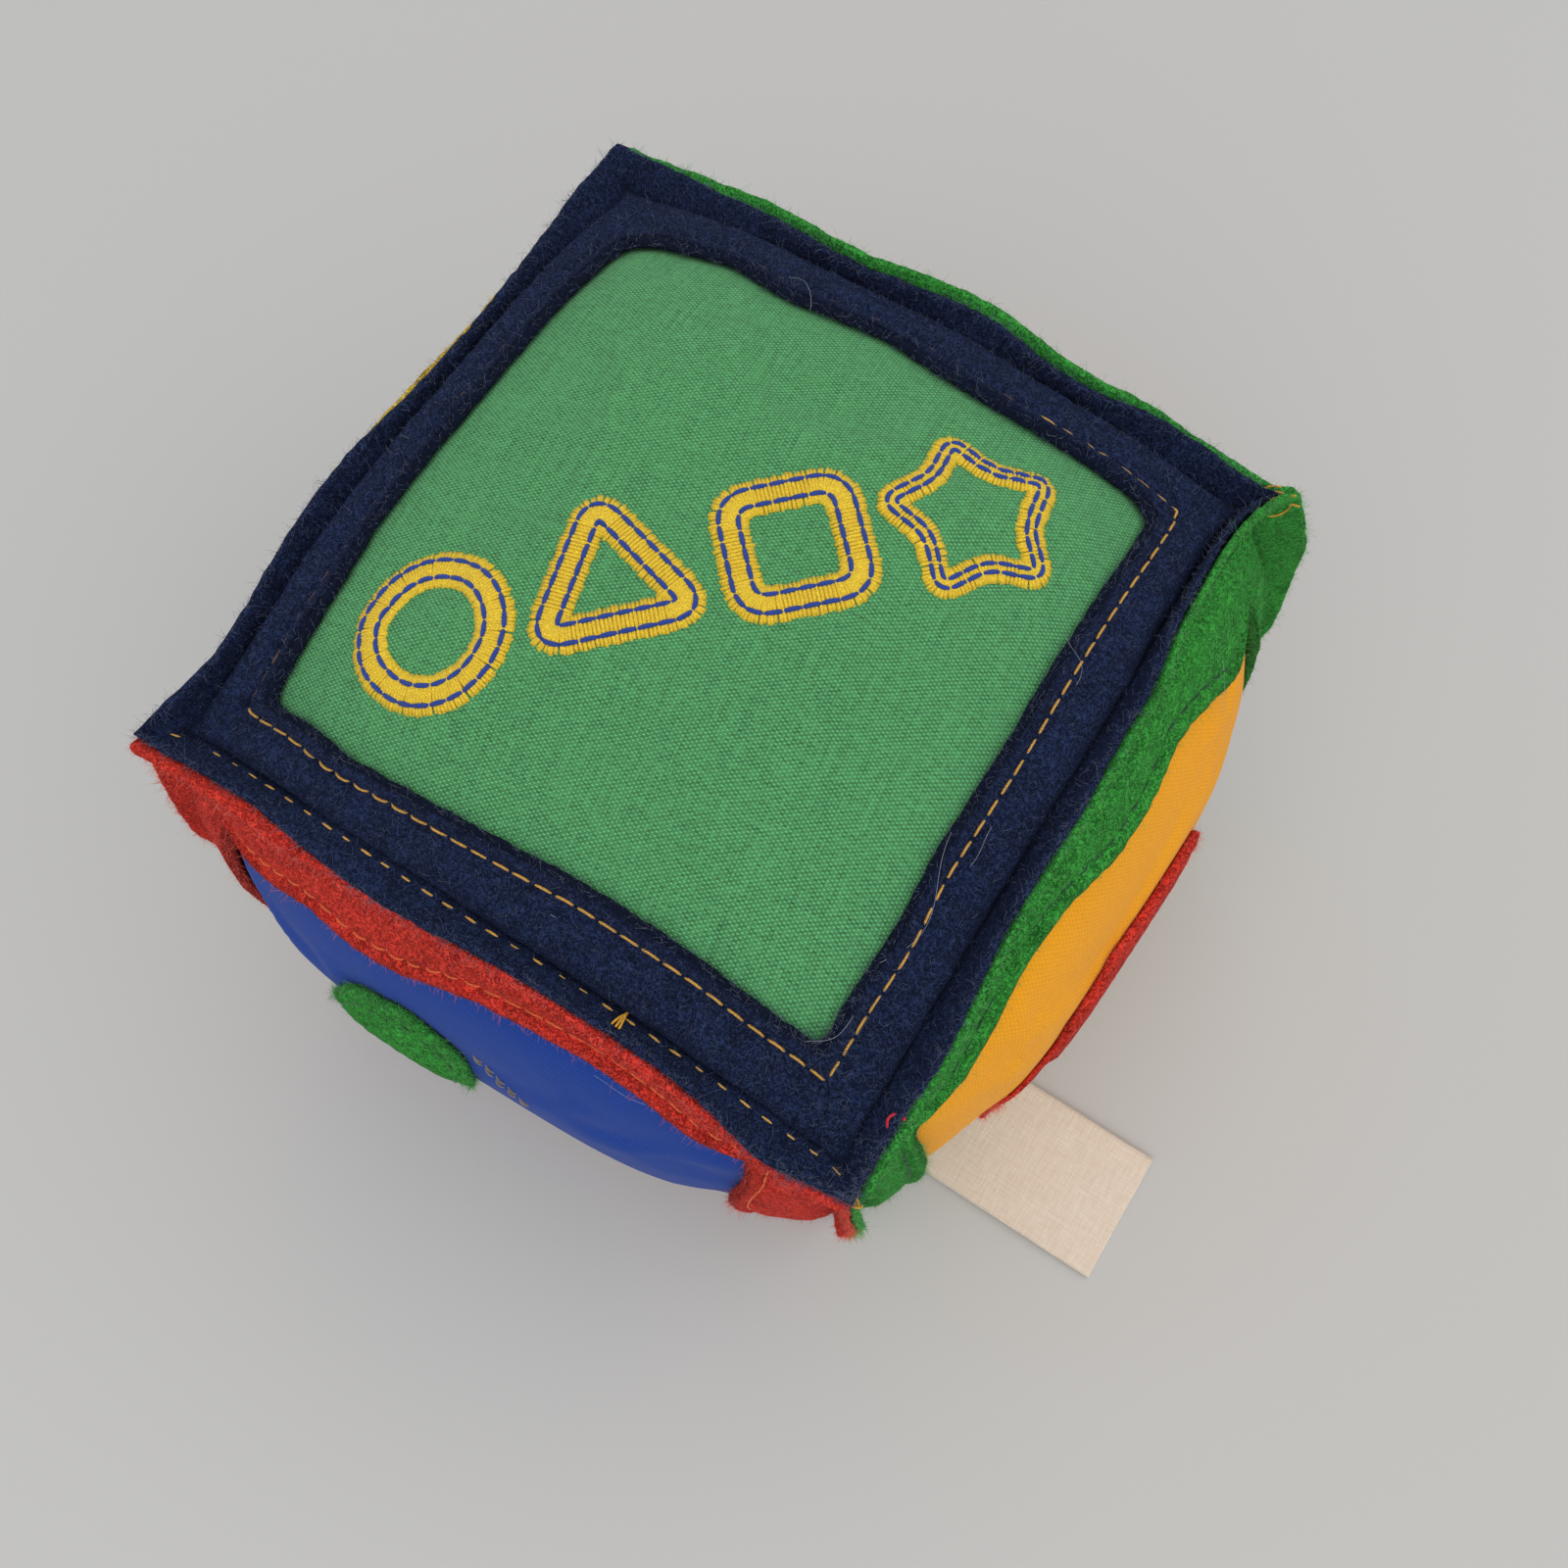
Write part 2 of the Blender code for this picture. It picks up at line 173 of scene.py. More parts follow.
class Shade:
    """One value in a material, so that shader sums are written as Python sums."""

    def __init__(self, finish, output):
        self.finish = finish
        self.output = output

    def maths(self, operation, first, second=0.0):
        return self.finish.node("ShaderNodeMath", {"operation": operation}, {0: first, 1: second})

    def __add__(self, other):
        return self.maths("ADD", self, other)

    def __sub__(self, other):
        return self.maths("SUBTRACT", self, other)

    def __rsub__(self, other):
        return self.maths("SUBTRACT", other, self)

    def __mul__(self, other):
        return self.maths("MULTIPLY", self, other)

    def __pow__(self, other):
        return self.maths("POWER", self, other)

    def __abs__(self):
        return self.maths("ABSOLUTE", self)

    __radd__ = __add__
    __rmul__ = __mul__

    def sine(self):
        return self.maths("SINE", self)

    def floor(self):
        return self.maths("FLOOR", self)

    def between(self, low, high):
        """0 below low, 1 above high."""
        sockets = {"Value": self, "From Min": low, "From Max": high}
        return self.finish.node("ShaderNodeMapRange", {}, sockets)


class Finish:
    """A material under construction."""

    def __init__(self, name, roughness, sheen=0.0, sheen_colour=(1, 1, 1)):
        self.material = bpy.data.materials.new(name)
        self.material.use_nodes = True
        self.tree = self.material.node_tree
        self.shader = self.tree.nodes["Principled BSDF"]
        self.set("Roughness", roughness)
        self.set("Sheen Weight", sheen)
        self.set("Sheen Roughness", 0.5)
        self.set("Sheen Tint", (*sheen_colour, 1))
        self.set("Specular IOR Level", 0.15)

    def feed(self, socket, value):
        if isinstance(value, Shade):
            self.tree.links.new(value.output, socket)
        else:
            socket.default_value = value

    def set(self, socket_name, value):
        self.feed(self.shader.inputs[socket_name], value)

    def node(self, kind, settings, sockets, output=0):
        """Any other node: its type, its settings, then its sockets' values or links."""
        made = self.tree.nodes.new(kind)
        for key, value in settings.items():
            setattr(made, key, value)
        for key, value in sockets.items():
            self.feed(made.inputs[key], value)
        return Shade(self, made.outputs[output])

    def mix(self, share, first, second):
        sockets = {0: share, 6: first, 7: second}
        return self.node("ShaderNodeMix", {"data_type": "RGBA"}, sockets, output=2)

    def place(self):
        return self.node("ShaderNodeTexCoord", {}, {}, output=3)

    def scaled(self, vector, scale):
        return self.node("ShaderNodeVectorMath", {"operation": "MULTIPLY"}, {0: vector, 1: scale})

    def noise(self, size, detail=2.0, warp=0.0, vector=None):
        """Cloudy noise with lumps of that size, a length or one for each axis."""
        sizes = size if hasattr(size, "__len__") else (size, size, size)
        vector = self.scaled(vector or self.place(), tuple(1 / part for part in sizes))
        sockets = {"Vector": vector, "Scale": 1.0, "Detail": detail, "Distortion": warp}
        return self.node("ShaderNodeTexNoise", {}, sockets)

    def paint(self, share, first, second):
        self.set("Base Color", self.mix(share, first, second))

    def raise_by(self, height, distance):
        """Let a height, from 0 to 1, stand that far out of the surface."""
        sockets = {"Strength": 1.0, "Distance": distance, "Height": height}
        self.set("Normal", self.node("ShaderNodeBump", {}, sockets))


def rgb(red, green, blue):
    """A colour written as 0 to 255 on a screen, as the renderer's linear light."""
    shares = [part / 255 for part in (red, green, blue)]
    linear = [s / 12.92 if s <= 0.04045 else ((s + 0.055) / 1.055) ** 2.4 for s in shares]
    return (*linear, 1)


def tinted(colour, share):
    """A colour made darker, or lighter where the share is over 1."""
    return (*(min(1, part * share) for part in colour[:3]), 1)


def fibre_fill_finish():
    finish = Finish("fibre_fill", 0.95, sheen=0.3)
    tangle = abs(finish.noise(0.0018, detail=4, warp=2.0) - 0.5) * 4
    finish.paint(tangle, rgb(214, 211, 204), rgb(245, 243, 238))
    finish.raise_by(tangle, 0.0006)
    return finish.material


def make_fill():
    shares = np.linspace(-1, 1, FILL_STEPS + 1)
    across, along = np.meshgrid(shares, shares)
    places, order, face_sets = {}, [], []
    for face in FACES:
        points = form(face, across, along, FILL_DEPTH).reshape(-1, 3)
        width, height, normal = FACES[face]
        units = across.reshape(-1, 1) * width + along.reshape(-1, 1) * height + normal
        numbers = []
        for unit, point in zip(np.round(units * FILL_STEPS).astype(int), points):
            key = tuple(unit)
            if key not in places:
                places[key] = len(order)
                order.append(point)
            numbers.append(places[key])
        face_sets.append(np.array(numbers)[grid_faces(FILL_STEPS + 1, FILL_STEPS + 1)])
    points = np.array(order)
    middle = points.mean(axis=0)
    lumps = FILL_LUMP * (wobble(points, FILL_LUMP_SIZE, 5) - 1)
    points = points + unit_of(points - middle) * lumps[:, None]
    return keep_outward(make_piece("fibre_fill", points, face_sets, fibre_fill_finish()))


fill = make_fill()
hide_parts("stuffing")
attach(fill, "block")

# The six cloth panels
# Squares of thin woven cloth, sewn behind the windows of the felt frames. The top and the
# bottom are plain-weave cotton and the sides a closer, smoother cloth. The stuffing strains
# them into a crown, and a little spare cloth leaves faint puckers.

WINDOW_HALF = 0.047
TUCK_WIDTH = 0.006
PANEL_HALF = WINDOW_HALF + TUCK_WIDTH
PANEL_STEPS = 76
HELD_BAND = 0.0035
HELD_FADE = 0.012
MOST_LIFT = 0.0007
SPARE_CLOTH_SHARE = 0.012
CLOTH_FRAMES = 14

WEAVE_TURN = math.radians(7.9)
# Warp and weft threads to the millimetre, how far their tone and painted light contrast,
# and how deep the weave is
PLAIN_WEAVE = (1.94, 3.21, 0.88, 0.00012)
CLOSE_WEAVE = (2.6, 1.3, 0.16, 0.00005)

PANEL_SLOTS = {
    "top": "green_cotton",
    "bottom": "green_cotton",
    "front": "blue_cloth",
    "left": "blue_cloth",
    "right": "yellow_cloth",
    "back": "red_cloth",
}
CLOTH_COLOURS = {
    "green_cotton": rgb(77, 142, 90),
    "blue_cloth": rgb(8, 58, 146),
    "yellow_cloth": rgb(245, 161, 4),
    "red_cloth": rgb(200, 38, 26),
}


def woven_finish(name, colour, warp_count, weft_count, contrast, depth):
    """Plain weave: each yarn passes over one and under the next, no two crossings alike."""
    finish = Finish(name, 0.85, sheen=0.08)
    flat = finish.node("ShaderNodeUVMap", {"uv_map": "cloth_mm"}, {})
    parts = finish.node("ShaderNodeSeparateXYZ", {}, {0: flat})
    u = parts * warp_count
    v = Shade(finish, parts.output.node.outputs[1]) * weft_count
    warp = (u * math.pi).sine()
    weft = (v * math.pi).sine()
    over = warp * weft * 0.5 + 0.5
    crowns = (abs(warp) * abs(weft)) ** 0.5
    cell = finish.node("ShaderNodeCombineXYZ", {}, {0: u.floor(), 1: v.floor()})
    crossing = finish.node("ShaderNodeTexWhiteNoise", {"noise_dimensions": "2D"}, {"Vector": cell})
    warp_slub = finish.noise((0.35, 14.0, 1.0), detail=1, vector=flat)
    weft_slub = finish.noise((9.0, 0.25, 1.0), detail=1, vector=flat)
    slubs = ((warp_slub + weft_slub) * 0.5).between(0.3, 0.7)
    # Painted light: yarn crowns lighter, gaps between yarns darker, and one sort of crossing lit
    # apart from the other, over the yarns' own uneven tone from slubs and single crossings
    shade = (slubs * 0.16 + crossing * 0.14 + crowns * 0.25 + over * 0.45).between(0.2, 0.8)
    cloudy = finish.noise(0.02, detail=2).between(0.3, 0.7)
    woven = finish.mix(shade, tinted(colour, 1 - contrast), tinted(colour, 1 + contrast))
    finish.paint(cloudy * 0.10, woven, tinted(colour, 1.25))
    finish.raise_by(crowns * 0.7 + over * 0.3, depth)
    return finish.material


def settle_cloth(face, base, normals, edge_distance):
    """How far stuffing pushes spare cloth out of the plain form, from a short simulation."""
    steps = len(base) - 1
    calm = wobble(base, 0.03, 11) * 0.5 + wobble(base, 0.011, 12) * 0.2
    faces = [grid_faces(steps + 1, steps + 1)]
    start = base + normals * (calm * MOST_LIFT * 0.5)[..., None]
    cloth = make_piece(f"{face}_cloth_trial", start.reshape(-1, 3), faces, None)
    held = cloth.vertex_groups.new(name="held")
    border = np.nonzero(edge_distance.ravel() < HELD_BAND)[0]
    held.add(border.tolist(), 1.0, "REPLACE")
    motion = cloth.modifiers.new("settle", "CLOTH")
    motion.settings.quality = 5
    motion.settings.mass = 0.1
    motion.settings.tension_stiffness = 12
    motion.settings.compression_stiffness = 12
    motion.settings.shear_stiffness = 6
    motion.settings.bending_stiffness = 0.2
    motion.settings.use_pressure = True
    motion.settings.uniform_pressure_force = 1.5
    motion.settings.shrink_min = -SPARE_CLOTH_SHARE
    motion.settings.vertex_group_mass = "held"
    motion.settings.effector_weights.gravity = 0
    motion.collision_settings.use_collision = False
    for number in range(1, CLOTH_FRAMES + 1):
        bpy.context.scene.frame_set(number)
    seen = cloth.evaluated_get(bpy.context.evaluated_depsgraph_get()).data
    settled = np.zeros(len(seen.vertices) * 3, np.float32)
    seen.vertices.foreach_get("co", settled)
    moved = settled.reshape(base.shape).astype(float) - base
    lift = (moved * normals).sum(axis=-1)
    lift = lift - lift.mean()
    bpy.data.objects.remove(cloth, do_unlink=True)
    bpy.context.scene.frame_set(1)
    lift = MOST_LIFT * np.tanh(lift / MOST_LIFT)
    return lift * np.clip((edge_distance - HELD_BAND) / HELD_FADE, 0, 1)


def grid_normals(points):
    """Outward normals of a grid of points whose rows run along the face's width."""
    across = np.gradient(points, axis=1)
    along = np.gradient(points, axis=0)
    return unit_of(np.cross(across, along))


def sewn_panel(face):
    """The grid of a panel's outside after the cloth has settled."""
    reach = PANEL_HALF / SEAM_HALF
    shares = np.linspace(-reach, reach, PANEL_STEPS + 1)
    across, along = np.meshgrid(shares, shares)
    base = form(face, across, along, PANEL_DEPTH)
    normals = grid_normals(base)
    furthest = np.maximum(np.abs(across), np.abs(along)) * SEAM_HALF
    lift = settle_cloth(face, base, normals, PANEL_HALF - furthest)
    if face == "bottom":
        lift = lift * 0
    return base + normals * lift[..., None]


panel_grids = {face: sewn_panel(face) for face in FACES}
panel_ways = {face: grid_normals(points) for face, points in panel_grids.items()}


def sampled(grid, x, y):
    """Values of a panel's grid at x, y from the panel's centre."""
    step = 2 * PANEL_HALF / PANEL_STEPS
    places = (np.stack([x, y]) + PANEL_HALF) / step
    column, row = np.clip(places, 0, PANEL_STEPS - 1e-6)
    j, i = column.astype(int), row.astype(int)
    s, t = (column - j)[..., None], (row - i)[..., None]
    low = grid[i, j] * (1 - s) + grid[i, j + 1] * s
    high = grid[i + 1, j] * (1 - s) + grid[i + 1, j + 1] * s
    return low * (1 - t) + high * t


def on_panel(face, x, y, lift=0.0):
    """Points that far above a panel's cloth, and the cloth's outward way there."""
    ways = unit_of(sampled(panel_ways[face], x, y))
    points = sampled(panel_grids[face], x, y)
    return points + ways * np.asarray(lift)[..., None], ways


def make_panel(face, material):
    outer = panel_grids[face]
    inner = outer - panel_ways[face] * CLOTH_THICKNESS
    count = PANEL_STEPS + 1
    spots = np.arange(count * count).reshape(count, count)
    ring = [spots[0, :-1], spots[:-1, -1], spots[-1, :0:-1], spots[:0:-1, 0]]
    border = np.concatenate(ring)
    following = np.roll(border, -1)
    back = count * count
    sides = np.stack([following, border, border + back, following + back], axis=-1)
    under = grid_faces(count, count, start=back)[:, ::-1]
    millimetres = np.linspace(-PANEL_HALF, PANEL_HALF, count) * 1000
    u, v = np.meshgrid(millimetres, millimetres)
    cosine, sine = math.cos(WEAVE_TURN), math.sin(WEAVE_TURN)
    turned = [u * cosine + v * sine, v * cosine - u * sine]
    flat = np.stack(turned, axis=-1).reshape(-1, 2)
    points = np.concatenate([outer.reshape(-1, 3), inner.reshape(-1, 3)])
    faces = [grid_faces(count, count), under, sides]
    return keep_outward(make_piece(f"{face}_cloth", points, faces, material, np.tile(flat, (2, 1))))


cloth_finishes = {}
for name, colour in CLOTH_COLOURS.items():
    weave = PLAIN_WEAVE if name == "green_cotton" else CLOSE_WEAVE
    cloth_finishes[name] = woven_finish(name, colour, *weave)
for face, slot_name in PANEL_SLOTS.items():
    panel = make_panel(face, cloth_finishes[slot_name])
    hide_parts(f"{face}_panel")
    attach(panel, "block")

# The six felt frames
# Each is one square of thick wool-mix felt with a window cut in it by hand. Its border is
# sewn to the next frame's with the raw edges outside, so every seam stands up as a rippled
# flange two felts thick.

FRAME_STATIONS = 200
FLAT_JOIN = 0.0036
SHOULDER_JOIN = 0.0030
CREASE_REACH = 0.0009
CREASE_SPREAD = 1.15
HIDDEN_REACH = 0.0015
MITRE_REACH = 0.004
LEAST_SINE_SQUARED = 0.2
RIPPLE_HEIGHT = 0.0016
RIPPLE_LENGTH = 0.038
RIPPLE_PHASE = 0.31
TIP_WANDER = 0.0004
TIP_WANDER_SIZE = 0.03
FELT_LUMP = 0.00009
FELT_LUMP_SIZES = (0.0024, 0.007)

# The stuffing rolls the border over the foot of the seam, which the thread pulls in. Both
# fade away near the table, over this height and from this share of it.
SEAM_ROLL = 0.0017
SEAM_PULL = 0.0023
ROLL_HEIGHT = 0.03
ROLL_FROM = 0.2

# The topstitch sinks into the felt, which swells up on both sides of it
TOPSTITCH_OUT = 0.0025
STITCH_PITCH = 0.0034
STITCH_SHARE = 0.82
STITCH_DENT = 0.00042
STITCH_DENT_WIDTH = 0.0007
BORDER_SWELL = 0.0006
EDGE_SWELL = 0.0005

# How the four top seams lie: degrees that the flange leans out from the mitre between its
# two faces, at even steps towards +x or +y
TOP_LEANS = {
    "front": (4, 0, 10, 30, 38, 20, 8, -2, -5, -6, 4, 36, 14),
    "right": (-2, -2, 6, -8, -18, -16, -10, -15, -12, -34, -38, -44, -44),
    "back": (6, 6, 4, -16, -36, -40, -24, -6, -34, -40, -12, -8, -20),
    "left": (-20, -42, -34, -24, -18, -20, -36, -44, -42, -30, -12, 4, 10),
}
LEAN_REACH = 0.95
LEAN_SMOOTHING = 21

# The hand-cut windows: how far an edge lies outside the straight line, in millimetres, at
# even steps towards +x, +y or +z, and the radius of each corner of the top one, in metres
WINDOW_WANDER = {
    "top": {
        "north": (-1.0, 0.4, -2.1, -1.0, 0.3, -1.2, -1.7, -1.6, -1.0),
        "east": (0, 0.6, -0.4, -0.2, 0, -0.3, -0.4, -0.3, 0),
        "south": (0.6, 1.8, 1.2, 0.6, -0.1, -0.9, -1.0, -1.0, -0.4),
        "west": (-0.6, -0.5, 0.6, 0.5, 0.3, 0, 0.1, 0.4, 0.2),
    },
    "front": {
        "north": (-3.4, -2.0, -3.4, -2.6, 0.4, 2.0, 2.8, 2.0, -0.6),
        "east": (0, -1.0, -2.0, -3.2, -4.0, -4.2, -4.0, -3.4, -2.0),
    },
    "right": {"north": (-0.2, 1.6, 3.2, 2.2, -0.8, -1.0, 1.0, -1.0, -4.5)},
}
WANDER_REACH = 0.80
WANDER_SMOOTHING = 21
PLAIN_WANDER = 0.0006
PLAIN_WANDER_SIZE = 0.045
TOP_WINDOW_RADII = {(-1, 1): 0.0055, (1, 1): 0.0042, (1, -1): 0.0018, (-1, -1): 0.0025}
PLAIN_RADIUS = 0.004
SIDES = ("south", "east", "north", "west")

# How much further a raw edge reaches than its flange's plain width, likewise in millimetres
EDGE_REACH = {
    "top": {
        "north": (1.6, -0.2, 0, 0, 0, 0, 0.4),
        "west": (1.4, 0, 0, 0, 0, -0.4, 1.6),
        "south": (1.4, -0.4, 0, 0, 0, 0, 0),
    },
    "back": {
        "north": (0.6, 0.9, 1.2, 1.0, 1.3, 0.9, 1.6),
        "west": (0, 0, 0, 0.6, 1.8, 3.2, 2.2),
    },
    "left": {"north": (-1.4, -2.4, -2.0, -0.8, -1.8, -2.8, -1.0)},
    "right": {
        "north": (0.4, 0.2, 0.2, 0.4, 0.2, 0.4, 2.2),
        "east": (0, 0, 0, 0.6, 1.8, 3.2, 2.2),
        "west": (0, 0, 0, 0, 0, -1.0, -2.2),
    },
    "front": {
        "north": (2.8, 1.0, 0.4, 0.2, 0.2, 0.2, 0.4),
        "east": (0, 0, 0, 0, 0, -1.0, -2.2),
    },
}
TIP_REACH = 0.97
TIP_SMOOTHING = 11

# The rows of the felt's section in their order, and how much painted shade darkens the felt
# from row to row at the window's cut edge and in the crease, where the fibres are also pressed
EDGE_STEPS = 6
FACE_STEPS = 15
CREASE_STEPS = 7
FLANGE_STEPS = 5
TIP_STEPS = 5
HIDDEN_STEPS = 4
WINDOW_ROWS = slice(2, EDGE_STEPS)
FACE_ROWS = slice(EDGE_STEPS, EDGE_STEPS + FACE_STEPS)
CREASE_ROWS = slice(FACE_ROWS.stop, FACE_ROWS.stop + CREASE_STEPS)
FLANGE_ROWS = slice(CREASE_ROWS.stop, CREASE_ROWS.stop + FLANGE_STEPS)
TIP_ROWS = slice(FLANGE_ROWS.stop, FLANGE_ROWS.stop + TIP_STEPS - 1)
PAINTED_SHADE = {
    0: (1, 1, 1, 1, 1, 0.9, 0.6, 0.25),
    CREASE_ROWS.start: (0, 0.2, 0.5, 0.8, 1, 1, 0.8, 0.4),
}

FELT_SLOTS = {
    "top": "navy_felt",
    "bottom": "navy_felt",
    "front": "red_felt",
    "right": "green_felt",
    "back": "green_felt",
    "left": "yellow_felt",
}
FELT_COLOURS = {
    "navy_felt": rgb(7, 23, 58),
    "red_felt": rgb(222, 45, 34),
    "green_felt": rgb(48, 144, 52),
    "yellow_felt": rgb(228, 176, 40),
}
FLUFF_COLOURS = {
    "navy_felt": rgb(70, 82, 112),
    "red_felt": rgb(232, 96, 80),
    "green_felt": rgb(84, 164, 80),
    "yellow_felt": rgb(240, 206, 110),
}


def felt_finish(name, colour, fluff):
    """Matted fibres: a mottled ground, a tangle of fine lines, painted shade at edge and crease."""
    finish = Finish(name, 0.95, sheen=0.16, sheen_colour=tinted(fluff, 1.0)[:3])
    ground = finish.noise(0.0035, detail=3).between(0.3, 0.7)
    tufts = finish.noise(0.0007, detail=3, warp=0.6).between(0.3, 0.7)
    gaps = abs(finish.noise(0.0014, detail=1, warp=2.5) - 0.5).between(0.0, 0.12)
    other_gaps = abs(finish.noise(0.0010, detail=1, warp=2.0) - 0.5).between(0.0, 0.10)
    tangle = 1 - gaps * other_gaps
    stray = 1 - abs(finish.noise(0.0031, detail=1, warp=3.5) - 0.5).between(0.0, 0.016)
    lit = tangle * 0.7 + ground * 0.3
    mottled = finish.mix(lit, tinted(colour, 0.25), tinted(colour, 1.6))
    lined = finish.mix(tangle.between(0.45, 1.0) * 0.26, mottled, fluff)
    strewn = finish.mix(stray * 0.20, lined, tinted(fluff, 1.5))
    painted_shade = finish.node("ShaderNodeAttribute", {"attribute_name": "painted_shade"}, {}, output=2)
    # Painted shade: the felt is darkened at the window's cut edge and in the crease
    finish.paint(painted_shade * 0.75, strewn, tinted(colour, 0.30))
    finish.raise_by(tufts * 0.3 + tangle * 0.6 + ground * 0.3, 0.00045)
    return finish.material


def side_places(side):
    """Across and along shares of one side of a face, from corner to corner."""
    t = np.linspace(-1, 1, FRAME_STATIONS + 1)
    edge = np.ones_like(t)
    places = {"south": (t, -edge), "east": (edge, t), "north": (-t, edge), "west": (-edge, -t)}
    return places[side]


def rank_of(way):
    return abs(way[0]) + 2 * abs(way[1]) + 3 * abs(way[2])


def face_named(normal):
    return next(name for name, ways in FACES.items() if np.allclose(ways[2], normal))


def square_to(ways, vectors):
    """The part of each vector that runs square to a way of unit length."""
    return vectors - ways * (vectors * ways).sum(axis=1, keepdims=True)


def smoothed(values, width):
    """A row of values with its steps rounded off over that many of them."""
    kernel = np.hanning(width) / np.hanning(width).sum()
    return np.convolve(np.pad(values, width // 2, mode="edge"), kernel, mode="valid")


def flange_way(face, side, across, along):
    """The way the flange stands at each place, one and the same for both its felts."""
    width, height, normal = FACES[face]
    out = width * across[1] if side in ("east", "west") else height * along[1]
    middle = normal + out
    unit = across[:, None] * width + along[:, None] * height + normal
    travel = (unit - middle).sum(axis=1)
    first, second = sorted((normal, out), key=rank_of)
    if middle[2] < 0:
        angle = np.zeros_like(travel)
    elif middle[2] > 0:
        leans = TOP_LEANS[face_named(first if second[2] > 0 else second)]
        steps = np.linspace(-LEAN_REACH, LEAN_REACH, len(leans))
        angle = smoothed(np.radians(np.interp(travel, steps, leans)), LEAN_SMOOTHING)
        angle = angle * (1 - travel**10)
    else:
        phase = RIPPLE_PHASE * (middle[0] + 2 * middle[1] + 4 * middle[2])
        turns = travel * SEAM_HALF / RIPPLE_LENGTH + phase
        calm = 1 - 0.8 * np.clip(travel + 0.2, 0, 1)
        angle = RIPPLE_HEIGHT / FLANGE_WIDTH * np.sin(2 * math.pi * turns) * (1 - travel**2) * calm
    upright = (normal + out) / math.sqrt(2)
    sideways = (first - second) / math.sqrt(2)
    way = np.cos(angle)[:, None] * upright + np.sin(angle)[:, None] * sideways
    return way + (unit - middle) / math.sqrt(2), out


def side_frame(face, side):
    """What the felt's section needs at each place along one seam."""
    across, along = side_places(side)
    seam = form(face, across, along)
    way, out = flange_way(face, side, across, along)
    half_up = seam + way * FLANGE_WIDTH / 2
    tangent = unit_of(np.gradient(half_up, axis=0))
    flange_normal = unit_of(np.cross(tangent, way))
    flange_normal *= np.sign(flange_normal @ (FACES[face][2] - out))[:, None]
    share = 1 - FLAT_JOIN / SEAM_HALF
    inward = form(face, across * share, along * share) - seam
    plain = square_to(tangent, inward)
    length = np.linalg.norm(plain, axis=1, keepdims=True)
    face_normal = unit_of(np.cross(tangent, plain))
    face_normal *= np.sign(face_normal @ FACES[face][2])[:, None]
    steep = unit_of(square_to(tangent, way))
    cosine = (steep * plain / length).sum(axis=1, keepdims=True)
    sine = np.sqrt(np.maximum(1 - cosine**2, LEAST_SINE_SQUARED))
    return {
        "across": across[:, None],
        "along": along[:, None],
        "seam": seam,
        "way": way,
        "flange_normal": flange_normal,
        "inward": inward / length,
        "face_normal": face_normal,
        "cosine": cosine,
        "sine": sine,
    }


def mitred(sides):
    """One closed loop from four sides, their normals drawn together at the corners."""
    distance = (1 - np.abs(np.linspace(-1, 1, FRAME_STATIONS + 1))) * SEAM_HALF
    pull = np.clip(1 - distance / MITRE_REACH, 0, 1)[:, None]
    half = FRAME_STATIONS // 2
    for number in range(4):
        here, there = sides[number], sides[(number + 1) % 4]
        for key in ("flange_normal", "face_normal"):
            first, second = here[key][-1].copy(), there[key][0].copy()
            corner = (first + second) / (1 + max(-0.3, first @ second))
            here[key][half:] += (corner - first) * pull[half:]
            there[key][:half] += (corner - second) * pull[:half]
    loop = {}
    for key in sides[0]:
        parts = []
        for number, side in enumerate(sides):
            part = side[key][:-1].copy()
            part[0] = (part[0] + sides[number - 1][key][-1]) / 2
            parts.append(part)
        loop[key] = np.concatenate(parts)
    return loop


def rounded_share(across, along, radius_share):
    """How far out a rounded square reaches towards places on the square around it."""
    least = np.minimum(np.abs(across), np.abs(along))
    straight = 1 - radius_share
    centre = straight * (1 + least)
    spare = centre**2 - (1 + least**2) * (2 * straight**2 - radius_share**2)
    return np.where(least <= straight, 1, (centre + np.sqrt(np.maximum(spare, 0))) / (1 + least**2))


def round_loop(plain, values_of_sides, reach, width):
    """A plain row round a face's loop, with the millimetres given for some sides set in it."""
    count = FRAME_STATIONS
    total = plain.copy()
    t = np.linspace(-1, 1, count, endpoint=False)
    for number, side in enumerate(SIDES):
        values = np.array(values_of_sides.get(side, ())) / 1000
        if len(values):
            steps = np.linspace(-1, 1, len(values))
            t_side = t if side in ("south", "east") else -t
            total[number * count : (number + 1) * count] = np.interp(t_side / reach, steps, values)
    wrapped = np.concatenate([total[-width:], total, total[:width]])
    return smoothed(wrapped, width)[width:-width][:, None]


def wander_at(face, loop):
    """How far the hand-cut window edge lies outside the straight line at each place."""
    places = form(face, loop["across"][:, 0], loop["along"][:, 0])
    plain = wobble(places, PLAIN_WANDER_SIZE, 21) * PLAIN_WANDER
    return round_loop(plain, WINDOW_WANDER.get(face, {}), WANDER_REACH, WANDER_SMOOTHING)


def radius_at(face, loop):
    """The radius of the window corner nearest to each place."""
    east, north = loop["across"] > 0, loop["along"] > 0
    total = np.full(east.shape, PLAIN_RADIUS)
    if face == "top":
        for (side_x, side_y), radius in TOP_WINDOW_RADII.items():
            total[(east == (side_x > 0)) & (north == (side_y > 0))] = radius
    return total


def run_along(line):
    """How far along a line each of its points lies."""
    return np.concatenate([[0], np.cumsum(np.linalg.norm(np.diff(line, axis=0), axis=1))])


def stitch_holes(line):
    """A wave along a closed line that is 1 at each needle hole and 0 between them."""
    reach = run_along(np.vstack([line, line[:1]]))
    pitch = reach[-1] / round(reach[-1] / STITCH_PITCH)
    hole = (1 + STITCH_SHARE) / 2
    return (0.5 + 0.5 * np.cos(2 * math.pi * (reach[:-1] / pitch - hole)))[:, None]


